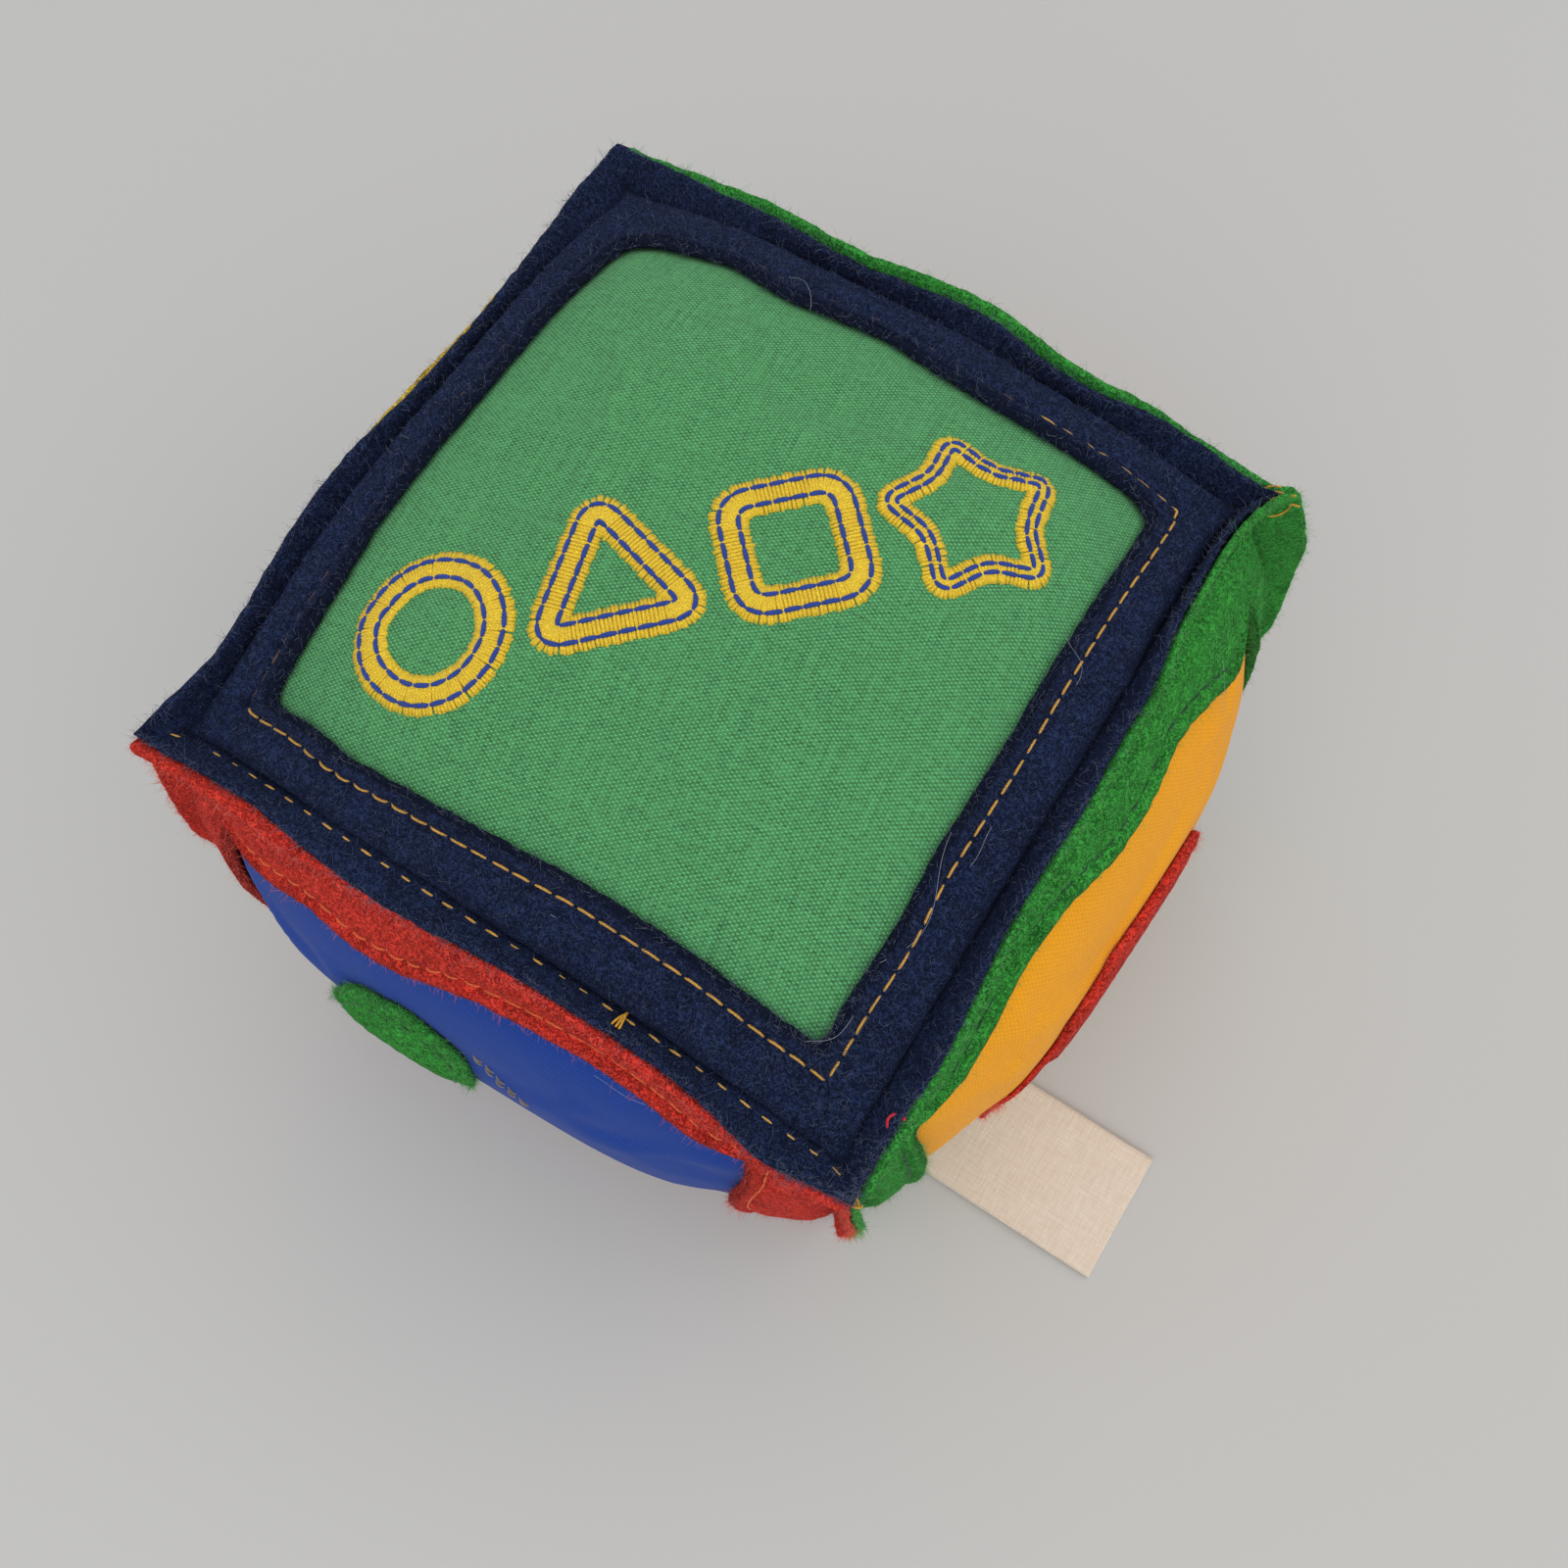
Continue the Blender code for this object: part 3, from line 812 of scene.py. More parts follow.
def curve_between(start, first, second, end, steps):
    """Points of a soft bend, without its two ends."""
    rows = []
    for s in np.linspace(0, 1, steps + 2)[1:-1]:
        near = start * (1 - s) ** 3 + first * 3 * s * (1 - s) ** 2
        rows.append(near + second * 3 * s**2 * (1 - s) + end * s**3)
    return rows


def frame_rows(face):
    """The felt's closed section as rows of points, each row once round the block's face."""
    loop = mitred([side_frame(face, side) for side in SIDES])
    across, along = loop["across"], loop["along"]
    corner_share = radius_at(face, loop) / WINDOW_HALF
    wander = wander_at(face, loop)
    window = (WINDOW_HALF * rounded_share(across, along, corner_share) + wander) / SEAM_HALF
    join, shoulder = 1 - FLAT_JOIN / SEAM_HALF, 1 - SHOULDER_JOIN / SEAM_HALF
    half, gap = FELT_THICKNESS / 2, LAYER_GAP / 2
    free = 0 if face == "bottom" else 1
    lifted = free * np.clip(loop["seam"][:, 2:] / ROLL_HEIGHT - ROLL_FROM, 0, 1)
    corner = np.minimum(np.abs(across), np.abs(along))
    roll = SEAM_ROLL * lifted
    pull = SEAM_PULL * (1 - corner**10) * lifted

    def flat(share, depth):
        return form(face, (across * share)[:, 0], (along * share)[:, 0], depth)

    def flange(run, height):
        return loop["seam"] + loop["way"] * run + loop["flange_normal"] * height

    stitch_share = (WINDOW_HALF + wander + TOPSTITCH_OUT) / SEAM_HALF
    topstitch_lines[face] = flat(stitch_share, 0)
    holes = stitch_holes(topstitch_lines[face])

    def relief(share):
        """How the topstitch and the stuffing shape the felt's outside at a share."""
        beside = (share - stitch_share) * SEAM_HALF
        dent = np.exp(-((beside / STITCH_DENT_WIDTH) ** 2)) * (0.55 + 0.45 * holes)
        reach = (shoulder - stitch_share) * SEAM_HALF
        swell = 1 - (2 * np.clip(beside / reach, 0, 1) - 1) ** 4
        puff = np.sin(math.pi * np.clip(-beside / TOPSTITCH_OUT, 0, 1))
        total = STITCH_DENT * dent - BORDER_SWELL * swell - EDGE_SWELL * puff
        return total[:, 0] * free

    rows = []
    for turn in np.linspace(-math.pi / 2, math.pi / 2, EDGE_STEPS):
        inset = half * (1 - math.cos(turn)) / SEAM_HALF
        rows.append(flat(window + inset, half * (1 - math.sin(turn))))
    for share in np.linspace(0, 1, FACE_STEPS + 1)[1:]:
        place = window + (shoulder - window) * share
        rolled = np.clip((place - stitch_share) / (shoulder - stitch_share), 0, 1) ** 2
        rows.append(flat(place, relief(place)) + loop["way"] * roll * rolled)
    crease = (gap + FELT_THICKNESS) / loop["sine"]
    over = loop["seam"] + loop["inward"] * crease * CREASE_SPREAD + loop["way"] * roll
    bend = loop["seam"] + loop["inward"] * crease + loop["way"] * (roll - pull)
    start_run = crease * loop["cosine"] + CREASE_REACH + roll - pull
    bottom = flange(start_run, gap + FELT_THICKNESS)
    rows += curve_between(rows[-1], over, bend, bottom, CREASE_STEPS)
    spread = wobble(loop["seam"], TIP_WANDER_SIZE, 31 + len(face)) * TIP_WANDER
    spread = spread[:, None] * (1 - corner**8)
    plain = np.zeros(len(across))
    longer = round_loop(plain, EDGE_REACH.get(face, {}), TIP_REACH, TIP_SMOOTHING)
    tip = FLANGE_WIDTH + spread + longer
    for share in np.linspace(0, 1, FLANGE_STEPS):
        rows.append(flange(start_run + (tip - half - start_run) * share, gap + FELT_THICKNESS))
    for turn in np.linspace(math.pi / 2, -math.pi / 2, TIP_STEPS + 2)[1:-1]:
        rows.append(flange(tip - half + half * math.cos(turn), gap + half + half * math.sin(turn)))
    hidden = (gap - FELT_THICKNESS * loop["cosine"]) / loop["sine"]
    sunk = np.maximum(pull - roll, 0)
    low_run = hidden * loop["cosine"] - FELT_THICKNESS * loop["sine"] + HIDDEN_REACH - sunk
    for share in np.linspace(1, 0, HIDDEN_STEPS):
        rows.append(flange(low_run + (tip - half - low_run) * share, gap))
    low_bend = loop["seam"] + loop["inward"] * hidden - loop["face_normal"] * FELT_THICKNESS
    low_bend = low_bend - loop["way"] * sunk
    back = flat(join, FELT_THICKNESS)
    rows += curve_between(rows[-1], low_bend, low_bend, back, HIDDEN_STEPS)
    for share in np.linspace(1, 0, HIDDEN_STEPS + 1)[:-1]:
        rows.append(flat(window + (join - window) * share, FELT_THICKNESS))
    return np.array(rows)


topstitch_lines = {}
frame_grids = {face: frame_rows(face) for face in FACES}


def outward_normals(face):
    """Outward normals of a frame's closed section swept round its loop."""
    rows = frame_grids[face]
    around = np.roll(rows, -1, axis=1) - np.roll(rows, 1, axis=1)
    section = np.roll(rows, -1, axis=0) - np.roll(rows, 1, axis=0)
    normals = unit_of(np.cross(around, section))
    inside_out = (normals[FACE_ROWS.start + 4] @ FACES[face][2]).mean() < 0
    return -normals if inside_out else normals


frame_ways = {face: outward_normals(face) for face in FACES}
felt_finishes = {
    name: felt_finish(name, colour, FLUFF_COLOURS[name]) for name, colour in FELT_COLOURS.items()
}
for face, slot_name in FELT_SLOTS.items():
    rows = frame_grids[face]
    small, large = FELT_LUMP_SIZES
    lumps = FELT_LUMP * (wobble(rows, small, 41) + wobble(rows, large, 42))
    if face == "bottom":
        lumps = lumps * 0
    felt_points = (rows + frame_ways[face] * lumps[..., None]).reshape(-1, 3)
    faces = [grid_faces(*rows.shape[:2], wrap_rows=True, wrap_columns=True)]
    felt = make_piece(f"{face}_felt", felt_points, faces, felt_finishes[slot_name])
    # The painted shade of each row of the section, kept on the felt for its material
    painted_shade = np.zeros(rows.shape[:2])
    for start, values in PAINTED_SHADE.items():
        painted_shade[start : start + len(values)] = np.array(values)[:, None]
    layer = felt.data.attributes.new("painted_shade", "FLOAT", "POINT")
    layer.data.foreach_set("value", painted_shade.astype(np.float32).ravel())
    keep_outward(felt)
    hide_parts(f"{face}_frame")
    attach(felt, "block")

# The fluff on the felt
# Wool fibres that have worked loose from the felt, thickest along its raw edges and at the
# top's nearest corner, which is rubbed, with a few long pale hairs caught among them.

FLUFF_RADIUS = 0.000024
FLUFF_TAPER = FLUFF_RADIUS * np.array([1.0, 1.0, 0.9, 0.7, 0.35])
FLUFF_SUNK = 0.0001
FLUFF_LENGTHS = (0.0005, 0.0014)
EDGE_FLUFF_LENGTHS = (0.0005, 0.0017)
FLUFF_COUNTS = dict(zip(FACES, (7400, 900, 5600, 6200, 3400, 2600)))
# Which rows of the felt's section the fluff stands on: its share there and its lengths
FLUFF_BANDS = [
    (TIP_ROWS, 0.38, EDGE_FLUFF_LENGTHS),
    (WINDOW_ROWS, 0.22, EDGE_FLUFF_LENGTHS),
    (FLANGE_ROWS, 0.15, FLUFF_LENGTHS),
    (FACE_ROWS, 0.25, FLUFF_LENGTHS),
]
RUBBED_SHARE = 0.12
RUBBED_SPREAD = 16


def capped_faces(rows, columns):
    """The walls of a grid that closes on itself along its rows, and a cap on each open end."""
    cap = np.arange(columns)[None]
    walls = grid_faces(rows, columns, wrap_columns=True)
    return [walls, cap[:, ::-1], cap + (rows - 1) * columns]


def tubes(paths, radius, sides, up):
    """Closed threads round paths of points, with the faces that join them."""
    count, steps = paths.shape[:2]
    tangents = unit_of(np.gradient(paths, axis=1))
    across = unit_of(np.cross(tangents, up))
    upward = np.cross(across, tangents)
    turns = np.arange(sides) * 2 * math.pi / sides
    rim = across[:, :, None] * np.cos(turns)[:, None]
    rim = rim + upward[:, :, None] * np.sin(turns)[:, None]
    thick = np.broadcast_to(radius, (count, steps))[:, :, None, None]
    points = (paths[:, :, None] + rim * thick).reshape(-1, 3)
    base = (np.arange(count) * steps * sides)[:, None, None]
    parts = capped_faces(steps, sides)
    return points, [(part + base).reshape(-1, part.shape[1])[:, ::-1] for part in parts]


def thread_piece(name, paths, radius, material, up=(0.31, 0.17, 0.93), sides=6):
    """One object of many threads, riding with the block."""
    points, faces = tubes(paths, radius, sides, up)
    item = keep_outward(make_piece(name, points, faces, material))
    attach(item, "block")


def fluff_paths(roots, ways, lengths, draw):
    """Short bent fibres: each leaves its root sideways and curls over."""
    count = len(roots)
    lean = square_to(ways, unit_of(draw.normal(size=(count, 3))))
    start = unit_of(ways * draw.uniform(0.25, 1.0, (count, 1)) + lean * 0.9)
    curl = unit_of(draw.normal(size=(count, 3))) * draw.uniform(0.2, 0.8, (count, 1))
    s = np.linspace(0, 1, len(FLUFF_TAPER))[None, :, None]
    body = start[:, None] * s + curl[:, None] * s**2
    return (roots - ways * FLUFF_SUNK)[:, None] + body * lengths[:, None, None]


def fluff_finish(name, colour):
    finish = Finish(name, 0.9, sheen=0.3)
    uneven = finish.noise(0.003, detail=1).between(0.3, 0.7)
    finish.paint(uneven, tinted(colour, 0.75), tinted(colour, 1.35))
    return finish.material


fluff_finishes = {
    name: fluff_finish(f"{name}_fluff", colour) for name, colour in FLUFF_COLOURS.items()
}


def between_stations(rows, i, j, share):
    """Points of a closed loop's rows, that share of the way from one station to the next."""
    return rows[i, j] * (1 - share) + rows[i, (j + 1) % rows.shape[1]] * share


def fluff_frame(face):
    draw = np.random.default_rng(100 + len(face) + ord(face[0]))
    rows, ways = frame_grids[face], frame_ways[face]
    around = rows.shape[1]
    roots, normals, lengths = [], [], []
    for band, share, (low, high) in FLUFF_BANDS:
        number = int(FLUFF_COUNTS[face] * share)
        i = draw.integers(band.start, band.stop, number)
        j = draw.integers(0, around, number)
        if face == "top":
            rubbed = (FRAME_STATIONS + draw.normal(0, RUBBED_SPREAD, number)).astype(int) % around
            j = np.where(draw.uniform(0, 1, number) < RUBBED_SHARE, rubbed, j)
        roots.append(between_stations(rows, i, j, draw.uniform(0, 1, (number, 1))))
        normals.append(ways[i, j])
        lengths.append(draw.uniform(low, high, number))
    roots, normals = np.concatenate(roots), np.concatenate(normals)
    paths = fluff_paths(roots, normals, np.concatenate(lengths), draw)
    paths[..., 2] = np.maximum(paths[..., 2], FLUFF_RADIUS * 2)
    slot_name = FELT_SLOTS[face]
    finish = fluff_finishes[slot_name]
    thread_piece(f"{face}_fluff", paths, FLUFF_TAPER, finish, sides=3)


for face in FACES:
    fluff_frame(face)

LONG_HAIR_RADIUS = 0.000024
LONG_HAIR_STEPS = 24
LONG_HAIR_LIMIT = SEAM_HALF - 0.002
# Where each long hair starts on a face, in metres across and along, its way and its length
LONG_HAIRS = {
    "top": [
        (0.047, -0.034, 75, 0.020),
        (0.050, -0.020, 95, 0.012),
        (0.044, -0.047, 45, 0.009),
        (0.050, 0.012, 110, 0.008),
        (-0.020, 0.049, 345, 0.010),
        (0.012, -0.050, 170, 0.007),
    ],
    "right": [(0.038, 0.050, 200, 0.012)],
    "front": [(0.030, 0.049, 190, 0.008)],
}


def long_hairs():
    draw = np.random.default_rng(77)
    finish = Finish("pale_hair", 0.6)
    tone = finish.noise(0.004, detail=1)
    finish.paint(tone, rgb(120, 128, 146), rgb(196, 198, 204))
    s = np.linspace(0, 1, LONG_HAIR_STEPS)
    paths = []
    for face, hairs in LONG_HAIRS.items():
        for across, along, degrees, length in hairs:
            bend = draw.uniform(-1.0, 1.0) * s
            bend = bend + draw.uniform(0.1, 0.4) * np.sin(s * 6 + across * 90)
            heading = math.radians(degrees) + bend
            step = length / (LONG_HAIR_STEPS - 1)
            u = across + np.cumsum(np.cos(heading)) * step
            v = along + np.cumsum(np.sin(heading)) * step
            u, v = np.clip([u, v], -LONG_HAIR_LIMIT, LONG_HAIR_LIMIT)
            lift = 0.0002 + 0.0012 * np.sin(s * math.pi) ** 2 * draw.uniform(0.3, 1.0)
            paths.append(form(face, u / SEAM_HALF, v / SEAM_HALF, -lift))
    paths = np.array(paths)
    thread_piece("long_hairs", paths, LONG_HAIR_RADIUS, finish.material, sides=4)


long_hairs()

# The stitching
# A line of machine stitches holds each panel behind its window, 2.5 mm outside the cut edge,
# and another closes the top's four seams at the foot of their flanges. The thread sinks into
# the felt at every hole. At the top corners the last stitches are tacked over the pinched felts.

STITCH_STEPS = 8
THREAD_RADIUS = 0.00021
THREAD_SINK = 0.00045
TOPSTITCH_LIFT = -0.00008
# From this share of the way round the top on, the topstitch is sunk in the pile and darker
SUNK_FROM = 0.56
SUNK_LIFT = -0.00026

STITCH_COLOURS = {
    "top": rgb(212, 160, 70),
    "darker_top": rgb(104, 72, 50),
    "bottom": rgb(206, 152, 52),
    "front": rgb(232, 104, 44),
    "right": rgb(14, 70, 40),
    "back": rgb(14, 70, 40),
    "left": rgb(206, 152, 52),
    "green_felt": rgb(34, 110, 40),
    "red_felt": rgb(186, 38, 30),
}


def thread_finish(name, colour, roughness=0.5):
    """Twisted sewing thread: fine uneven plies with a slight gloss."""
    finish = Finish(name, roughness, sheen=0.1)
    finish.set("Specular IOR Level", 0.4)
    plies = finish.noise(0.0002, detail=1).between(0.35, 0.65)
    finish.paint(plies, tinted(colour, 0.72), tinted(colour, 1.25))
    finish.raise_by(plies, 0.00008)
    return finish.material


def read_at(spots, reach, values):
    """Values given at points of a line, read at other spots along it."""
    return np.stack([np.interp(spots, reach, row) for row in values.T], axis=-1)


def stitches_along(line, ways, pitch, share, lift, closed=True):
    """Paths of the single stitches of one seam, each dipping into the cloth at its ends."""
    if closed:
        line, ways = np.vstack([line, line[:1]]), np.vstack([ways, ways[:1]])
    reach = run_along(line)
    number = max(1, round(reach[-1] / pitch))
    exact = reach[-1] / number
    s = np.linspace(0, 1, STITCH_STEPS)
    spots = (np.arange(number) * exact)[:, None] + s[None] * exact * share
    up = unit_of(read_at(spots, reach, ways))
    height = lift - THREAD_SINK * np.abs(2 * s - 1) ** 3
    return read_at(spots, reach, line) + up * height[None, :, None], up


thread_finishes = {
    name: thread_finish(f"{name}_thread", colour) for name, colour in STITCH_COLOURS.items()
}


def sew(name, paths, tops, colour_name):
    thread_piece(name, paths, THREAD_RADIUS, thread_finishes[colour_name], up=tops)


def sew_two_sorts(name, line, up, pitch, share, lifts, sunk_from):
    """A seam of the top: bright stitches first, then sunk ones in a darker thread."""
    bright, bright_tops = stitches_along(line, up, pitch, share, lifts[0])
    dull, dull_tops = stitches_along(line, up, pitch, share, lifts[1])
    turn = round(len(bright) * sunk_from)
    sew(name, bright[:turn], bright_tops[:turn], "top")
    sew(f"{name}_sunk", dull[turn:], dull_tops[turn:], "darker_top")


for face in FACES:
    line, up = topstitch_lines[face], frame_ways[face][FACE_ROWS.start + FACE_STEPS // 3]
    if face == "top":
        lifts = (TOPSTITCH_LIFT, SUNK_LIFT)
        sew_two_sorts("top_topstitch", line, up, STITCH_PITCH, STITCH_SHARE, lifts, SUNK_FROM)
    else:
        paths, tops = stitches_along(line, up, STITCH_PITCH, STITCH_SHARE, TOPSTITCH_LIFT)
        sew(f"{face}_topstitch", paths, tops, face)

SEAM_ROW = FLANGE_ROWS.start + 1
SEAM_PITCH = 0.0037
SEAM_SHARE = 0.72
SEAM_LIFTS = (-0.00008, -0.00035)
SEAM_SUNK_FROM = 0.25
seam_line, seam_up = frame_grids["top"][SEAM_ROW], frame_ways["top"][SEAM_ROW]
seam_values = (SEAM_PITCH, SEAM_SHARE, SEAM_LIFTS, SEAM_SUNK_FROM)
sew_two_sorts("seam_stitches", seam_line, seam_up, *seam_values)

# The tack at each top corner: the radius of its loops and the length of its loose ends
TACKS = {
    (-1, 1): (0.0010, 0.0018),
    (1, 1): (0.0021, 0.0036),
    (1, -1): (0.0010, 0.0014),
    (-1, -1): (0.0015, 0.0020),
}
TACK_LOOPS = 5
TACK_ENDS = 2
TACK_STEPS = 26
TACK_RADIUS = THREAD_RADIUS * 0.8
TACK_SUNK = 0.0012
# The knot on the front seam: its station, and its bars' ways along and across the seam
KNOT_STATION = 139
KNOT_BARS = ((0.3, 1.0), (0.05, 1.0), (-0.15, 1.0))
KNOT_BAR = 0.0054
KNOT_RISE = 0.0008


def corner_tacks():
    """Loops of thread over the pinched corners with their cut ends, and the seam's knot."""
    draw = np.random.default_rng(9)
    paths = []
    s = np.linspace(0, 1, TACK_STEPS)
    for (side_x, side_y), (radius, end) in TACKS.items():
        corner = form("top", np.array(side_x * 1.0), np.array(side_y * 1.0))
        point = unit_of(np.array([side_x, side_y, 1.0]))
        tip = corner + point * (FLANGE_WIDTH * 1.15)
        level = unit_of(np.array([-side_y, side_x, 0.0]))
        for _ in range(TACK_LOOPS):
            spread = level * draw.uniform(-0.0013, 0.0013) + point * draw.uniform(-0.0012, 0.0006)
            turn = 2 * math.pi * (s + draw.uniform(0, 1))
            other = unit_of(np.cross(level, point) + level * draw.uniform(-0.5, 0.5))
            loop = np.cos(turn)[:, None] * point + np.sin(turn)[:, None] * other
            paths.append(tip + spread - point * TACK_SUNK + loop * radius)
        for _ in range(TACK_ENDS):
            way = unit_of(point + unit_of(draw.normal(size=3)) * 0.8)
            curl = unit_of(draw.normal(size=3)) * end * 0.35
            paths.append(tip + way * (s * end)[:, None] + curl * (s**2)[:, None])
    knot, up = seam_line[KNOT_STATION], seam_up[KNOT_STATION]
    run = unit_of(seam_line[KNOT_STATION + 1] - seam_line[KNOT_STATION - 1])
    aside = unit_of(np.cross(up, run))
    for along, across in KNOT_BARS:
        way = unit_of(run * along + aside * across)
        height = KNOT_RISE * (1 - (2 * s - 1) ** 4)
        paths.append(knot + way * ((s - 0.5) * KNOT_BAR)[:, None] + up * height[:, None])
    return np.array(paths)


tack_thread = thread_finish("tack_thread", rgb(222, 160, 40))
thread_piece("corner_tacks", corner_tacks(), TACK_RADIUS, tack_thread)

# A loose end of red thread, curled up past the top's nearest corner: its place in shares of
# the top, how far off the felt it stands, and how far round it curls
CURL_RADIUS = 0.0012
CURL_PLACE = (0.985, -0.835)
CURL_LIFT = (0.0038, -0.0014, 0.0036)
CURL_TURN = (0.9, 4.6)
turn = np.linspace(*CURL_TURN, TACK_STEPS)
curl = np.stack([np.cos(turn), np.sin(turn), 0.35 * np.sin(turn * 0.7)], axis=-1)
curl_centre = form("top", *np.array(CURL_PLACE)) + np.array(CURL_LIFT)
curl_path = (curl_centre + curl * CURL_RADIUS)[None]
red_thread = thread_finish("red_thread_end", rgb(206, 24, 52))
thread_piece("red_thread_end", curl_path, THREAD_RADIUS, red_thread)

# The felt shapes on the two near sides
# A round one of green felt on the blue cloth and a rounded oblong of red felt on the yellow,
# each cut by hand and sewn down near its edge. A double line of stitches runs on from the
# round one.

SHAPE_SPOKES = 120
SHAPE_RINGS = 16
SHAPE_SEAT = 0.00012
SHAPE_FELT = 0.0017
SHAPE_STITCH_IN = 0.0026
SHAPE_FLUFF = 1500
SHAPE_FLUFF_LENGTHS = (0.0005, 0.0016)
DISC = {"place": (-0.0112, 0.0184), "radius": 0.0132, "dome": 0.0012, "thin": 0.0}
SLAB_HALF = (0.026, 0.023)
SLAB = {"place": (-0.007, -0.0006), "radius": 0.005, "dome": 0.0004, "thin": 0.5}
SLAB_STEP = {"past": -0.0145, "share": 0.5, "over": 0.0010}


def disc_edge(turns):
    return np.stack([np.cos(turns), np.sin(turns)], axis=-1) * DISC["radius"]


def past_step(x):
    return np.clip((SLAB_STEP["past"] - x) / SLAB_STEP["over"], 0, 1)


def slab_edge(turns):
    reach = np.maximum(np.abs(np.cos(turns)), np.abs(np.sin(turns)))
    across, along = np.cos(turns) / reach, np.sin(turns) / reach
    share = rounded_share(across, along, SLAB["radius"] / SLAB_HALF[1])
    x, y = across * share * SLAB_HALF[0], along * share * SLAB_HALF[1]
    return np.stack([x, y * (1 - (y > 0) * past_step(x) * SLAB_STEP["share"])], axis=-1)


def felt_shape(name, face, edge, sizes, slot_name):
    """A felt shape with rounded raw edges, puffed up between its stitches."""
    place = sizes["place"]
    turns = np.linspace(0, 2 * math.pi, SHAPE_SPOKES, endpoint=False)
    outline = edge(turns)
    cut = 1 + 0.012 * np.sin(turns * 5 + 1) + 0.008 * np.sin(turns * 9)
    outline = outline * cut[:, None]
    half = SHAPE_FELT / 2
    size = np.linalg.norm(outline, axis=1)
    rows, lifts = [], []
    for share in np.linspace(0.02, 1, SHAPE_RINGS):
        rows.append(outline * ((size - half) / size * share)[:, None])
        lifts.append(SHAPE_SEAT + SHAPE_FELT + sizes["dome"] * (1 - share**4))
    for turn in np.linspace(math.pi / 2, -math.pi / 2, 7)[1:-1]:
        rows.append(outline * ((size - half + half * math.cos(turn)) / size)[:, None])
        lifts.append(SHAPE_SEAT + half + half * math.sin(turn))
    for share in np.linspace(1, 0.02, SHAPE_RINGS):
        rows.append(outline * ((size - half) / size * share)[:, None])
        lifts.append(SHAPE_SEAT)
    flat = np.array(rows) + np.array(place)
    thinner = 1 - sizes["thin"] * past_step(np.array(rows)[..., 0])
    lift = SHAPE_SEAT + (np.array(lifts)[:, None] - SHAPE_SEAT) * thinner
    points, ways = on_panel(face, flat[..., 0], flat[..., 1], lift)
    from_line = (size - SHAPE_STITCH_IN) - np.linalg.norm(np.array(rows), axis=2)
    pressed = np.exp(-((from_line / STITCH_DENT_WIDTH) ** 2))
    top_side = np.array(lifts)[:, None] > SHAPE_SEAT + half
    points = points - ways * (pressed * top_side * 0.00025)[..., None]
    points = points + ways * (FELT_LUMP * wobble(points, 0.0024, 51) * top_side)[..., None]
    faces = capped_faces(len(rows), SHAPE_SPOKES)
    item = make_piece(name, points.reshape(-1, 3), faces, felt_finishes[slot_name])
    keep_outward(item)
    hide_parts(name)
    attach(item, "block")
    following = np.roll(outline, -1, axis=0)
    area = abs((outline[:, 0] * following[:, 1] - outline[:, 1] * following[:, 0]).sum()) / 2
    draw = np.random.default_rng(60 + len(name))
    i = draw.integers(SHAPE_RINGS - 1, SHAPE_RINGS + 5, SHAPE_FLUFF)
    j = draw.integers(0, SHAPE_SPOKES, SHAPE_FLUFF)
    roots = between_stations(points, i, j, draw.uniform(0, 1, (SHAPE_FLUFF, 1)))
    outward = unit_of(points[i, j] - points[0, 0] + ways[i, j] * 0.01)
    lengths = draw.uniform(*SHAPE_FLUFF_LENGTHS, SHAPE_FLUFF)
    hairs = fluff_paths(roots, outward, lengths, draw)
    finish = fluff_finishes[slot_name]
    thread_piece(f"{name}_fluff", hairs, FLUFF_TAPER, finish, sides=3)
    inner = outline * ((size - SHAPE_STITCH_IN) / size)[:, None]
    height = SHAPE_FELT + sizes["dome"] * (1 - (1 - SHAPE_STITCH_IN / size) ** 4) - 0.0002
    surface = SHAPE_SEAT + height * (1 - sizes["thin"] * past_step(inner[:, 0]))
    inner = inner + np.array(place)
    line, up = on_panel(face, inner[:, 0], inner[:, 1], surface)
    paths, tops = stitches_along(line, up, STITCH_PITCH, STITCH_SHARE, -0.0001)
    sew(f"{name}_stitches", paths, tops, slot_name)


felt_shape("front_applique", "front", disc_edge, DISC, "green_felt")
felt_shape("right_applique", "right", slab_edge, SLAB, "red_felt")

DOUBLE_LINE_GAP = 0.0012
double_paths, double_tops = [], []
for shift in (-DOUBLE_LINE_GAP / 2, DOUBLE_LINE_GAP / 2):
    s = np.linspace(0, 1, 40)
    x = 0.0017 + s * 0.0108
    y = 0.0278 - 0.0042 * s + shift
    line, up = on_panel("front", x, y, np.zeros(40))
    paths, tops = stitches_along(line, up, 0.0026, 0.82, 0.00016, closed=False)
    double_paths.append(paths)
    double_tops.append(tops)
thread_piece(
    "double_line",
    np.concatenate(double_paths),
    THREAD_RADIUS,
    thread_finish("double_line_thread", rgb(124, 112, 110)),
    up=np.concatenate(double_tops),
    sides=6,
)

# The embroidery on top
# Four plain shapes in yellow satin stitch, each a band of threads laid side by side across
# its outline, with two rows of blue running stitches sewn over them.

SATIN_BAND = 0.0056
SATIN_PITCH = 0.00058
SATIN_THREAD = 0.0003
SATIN_RISE = 0.00052
SATIN_STEPS = 9
RUNNING_IN = 0.0014
RUNNING_PITCH = 0.0026
RUNNING_THREAD = 0.00038
ROW_STEP = 0.0262
ROW_SHIFT = (-0.001, -0.001)
SHAPE_REACH = 0.0096


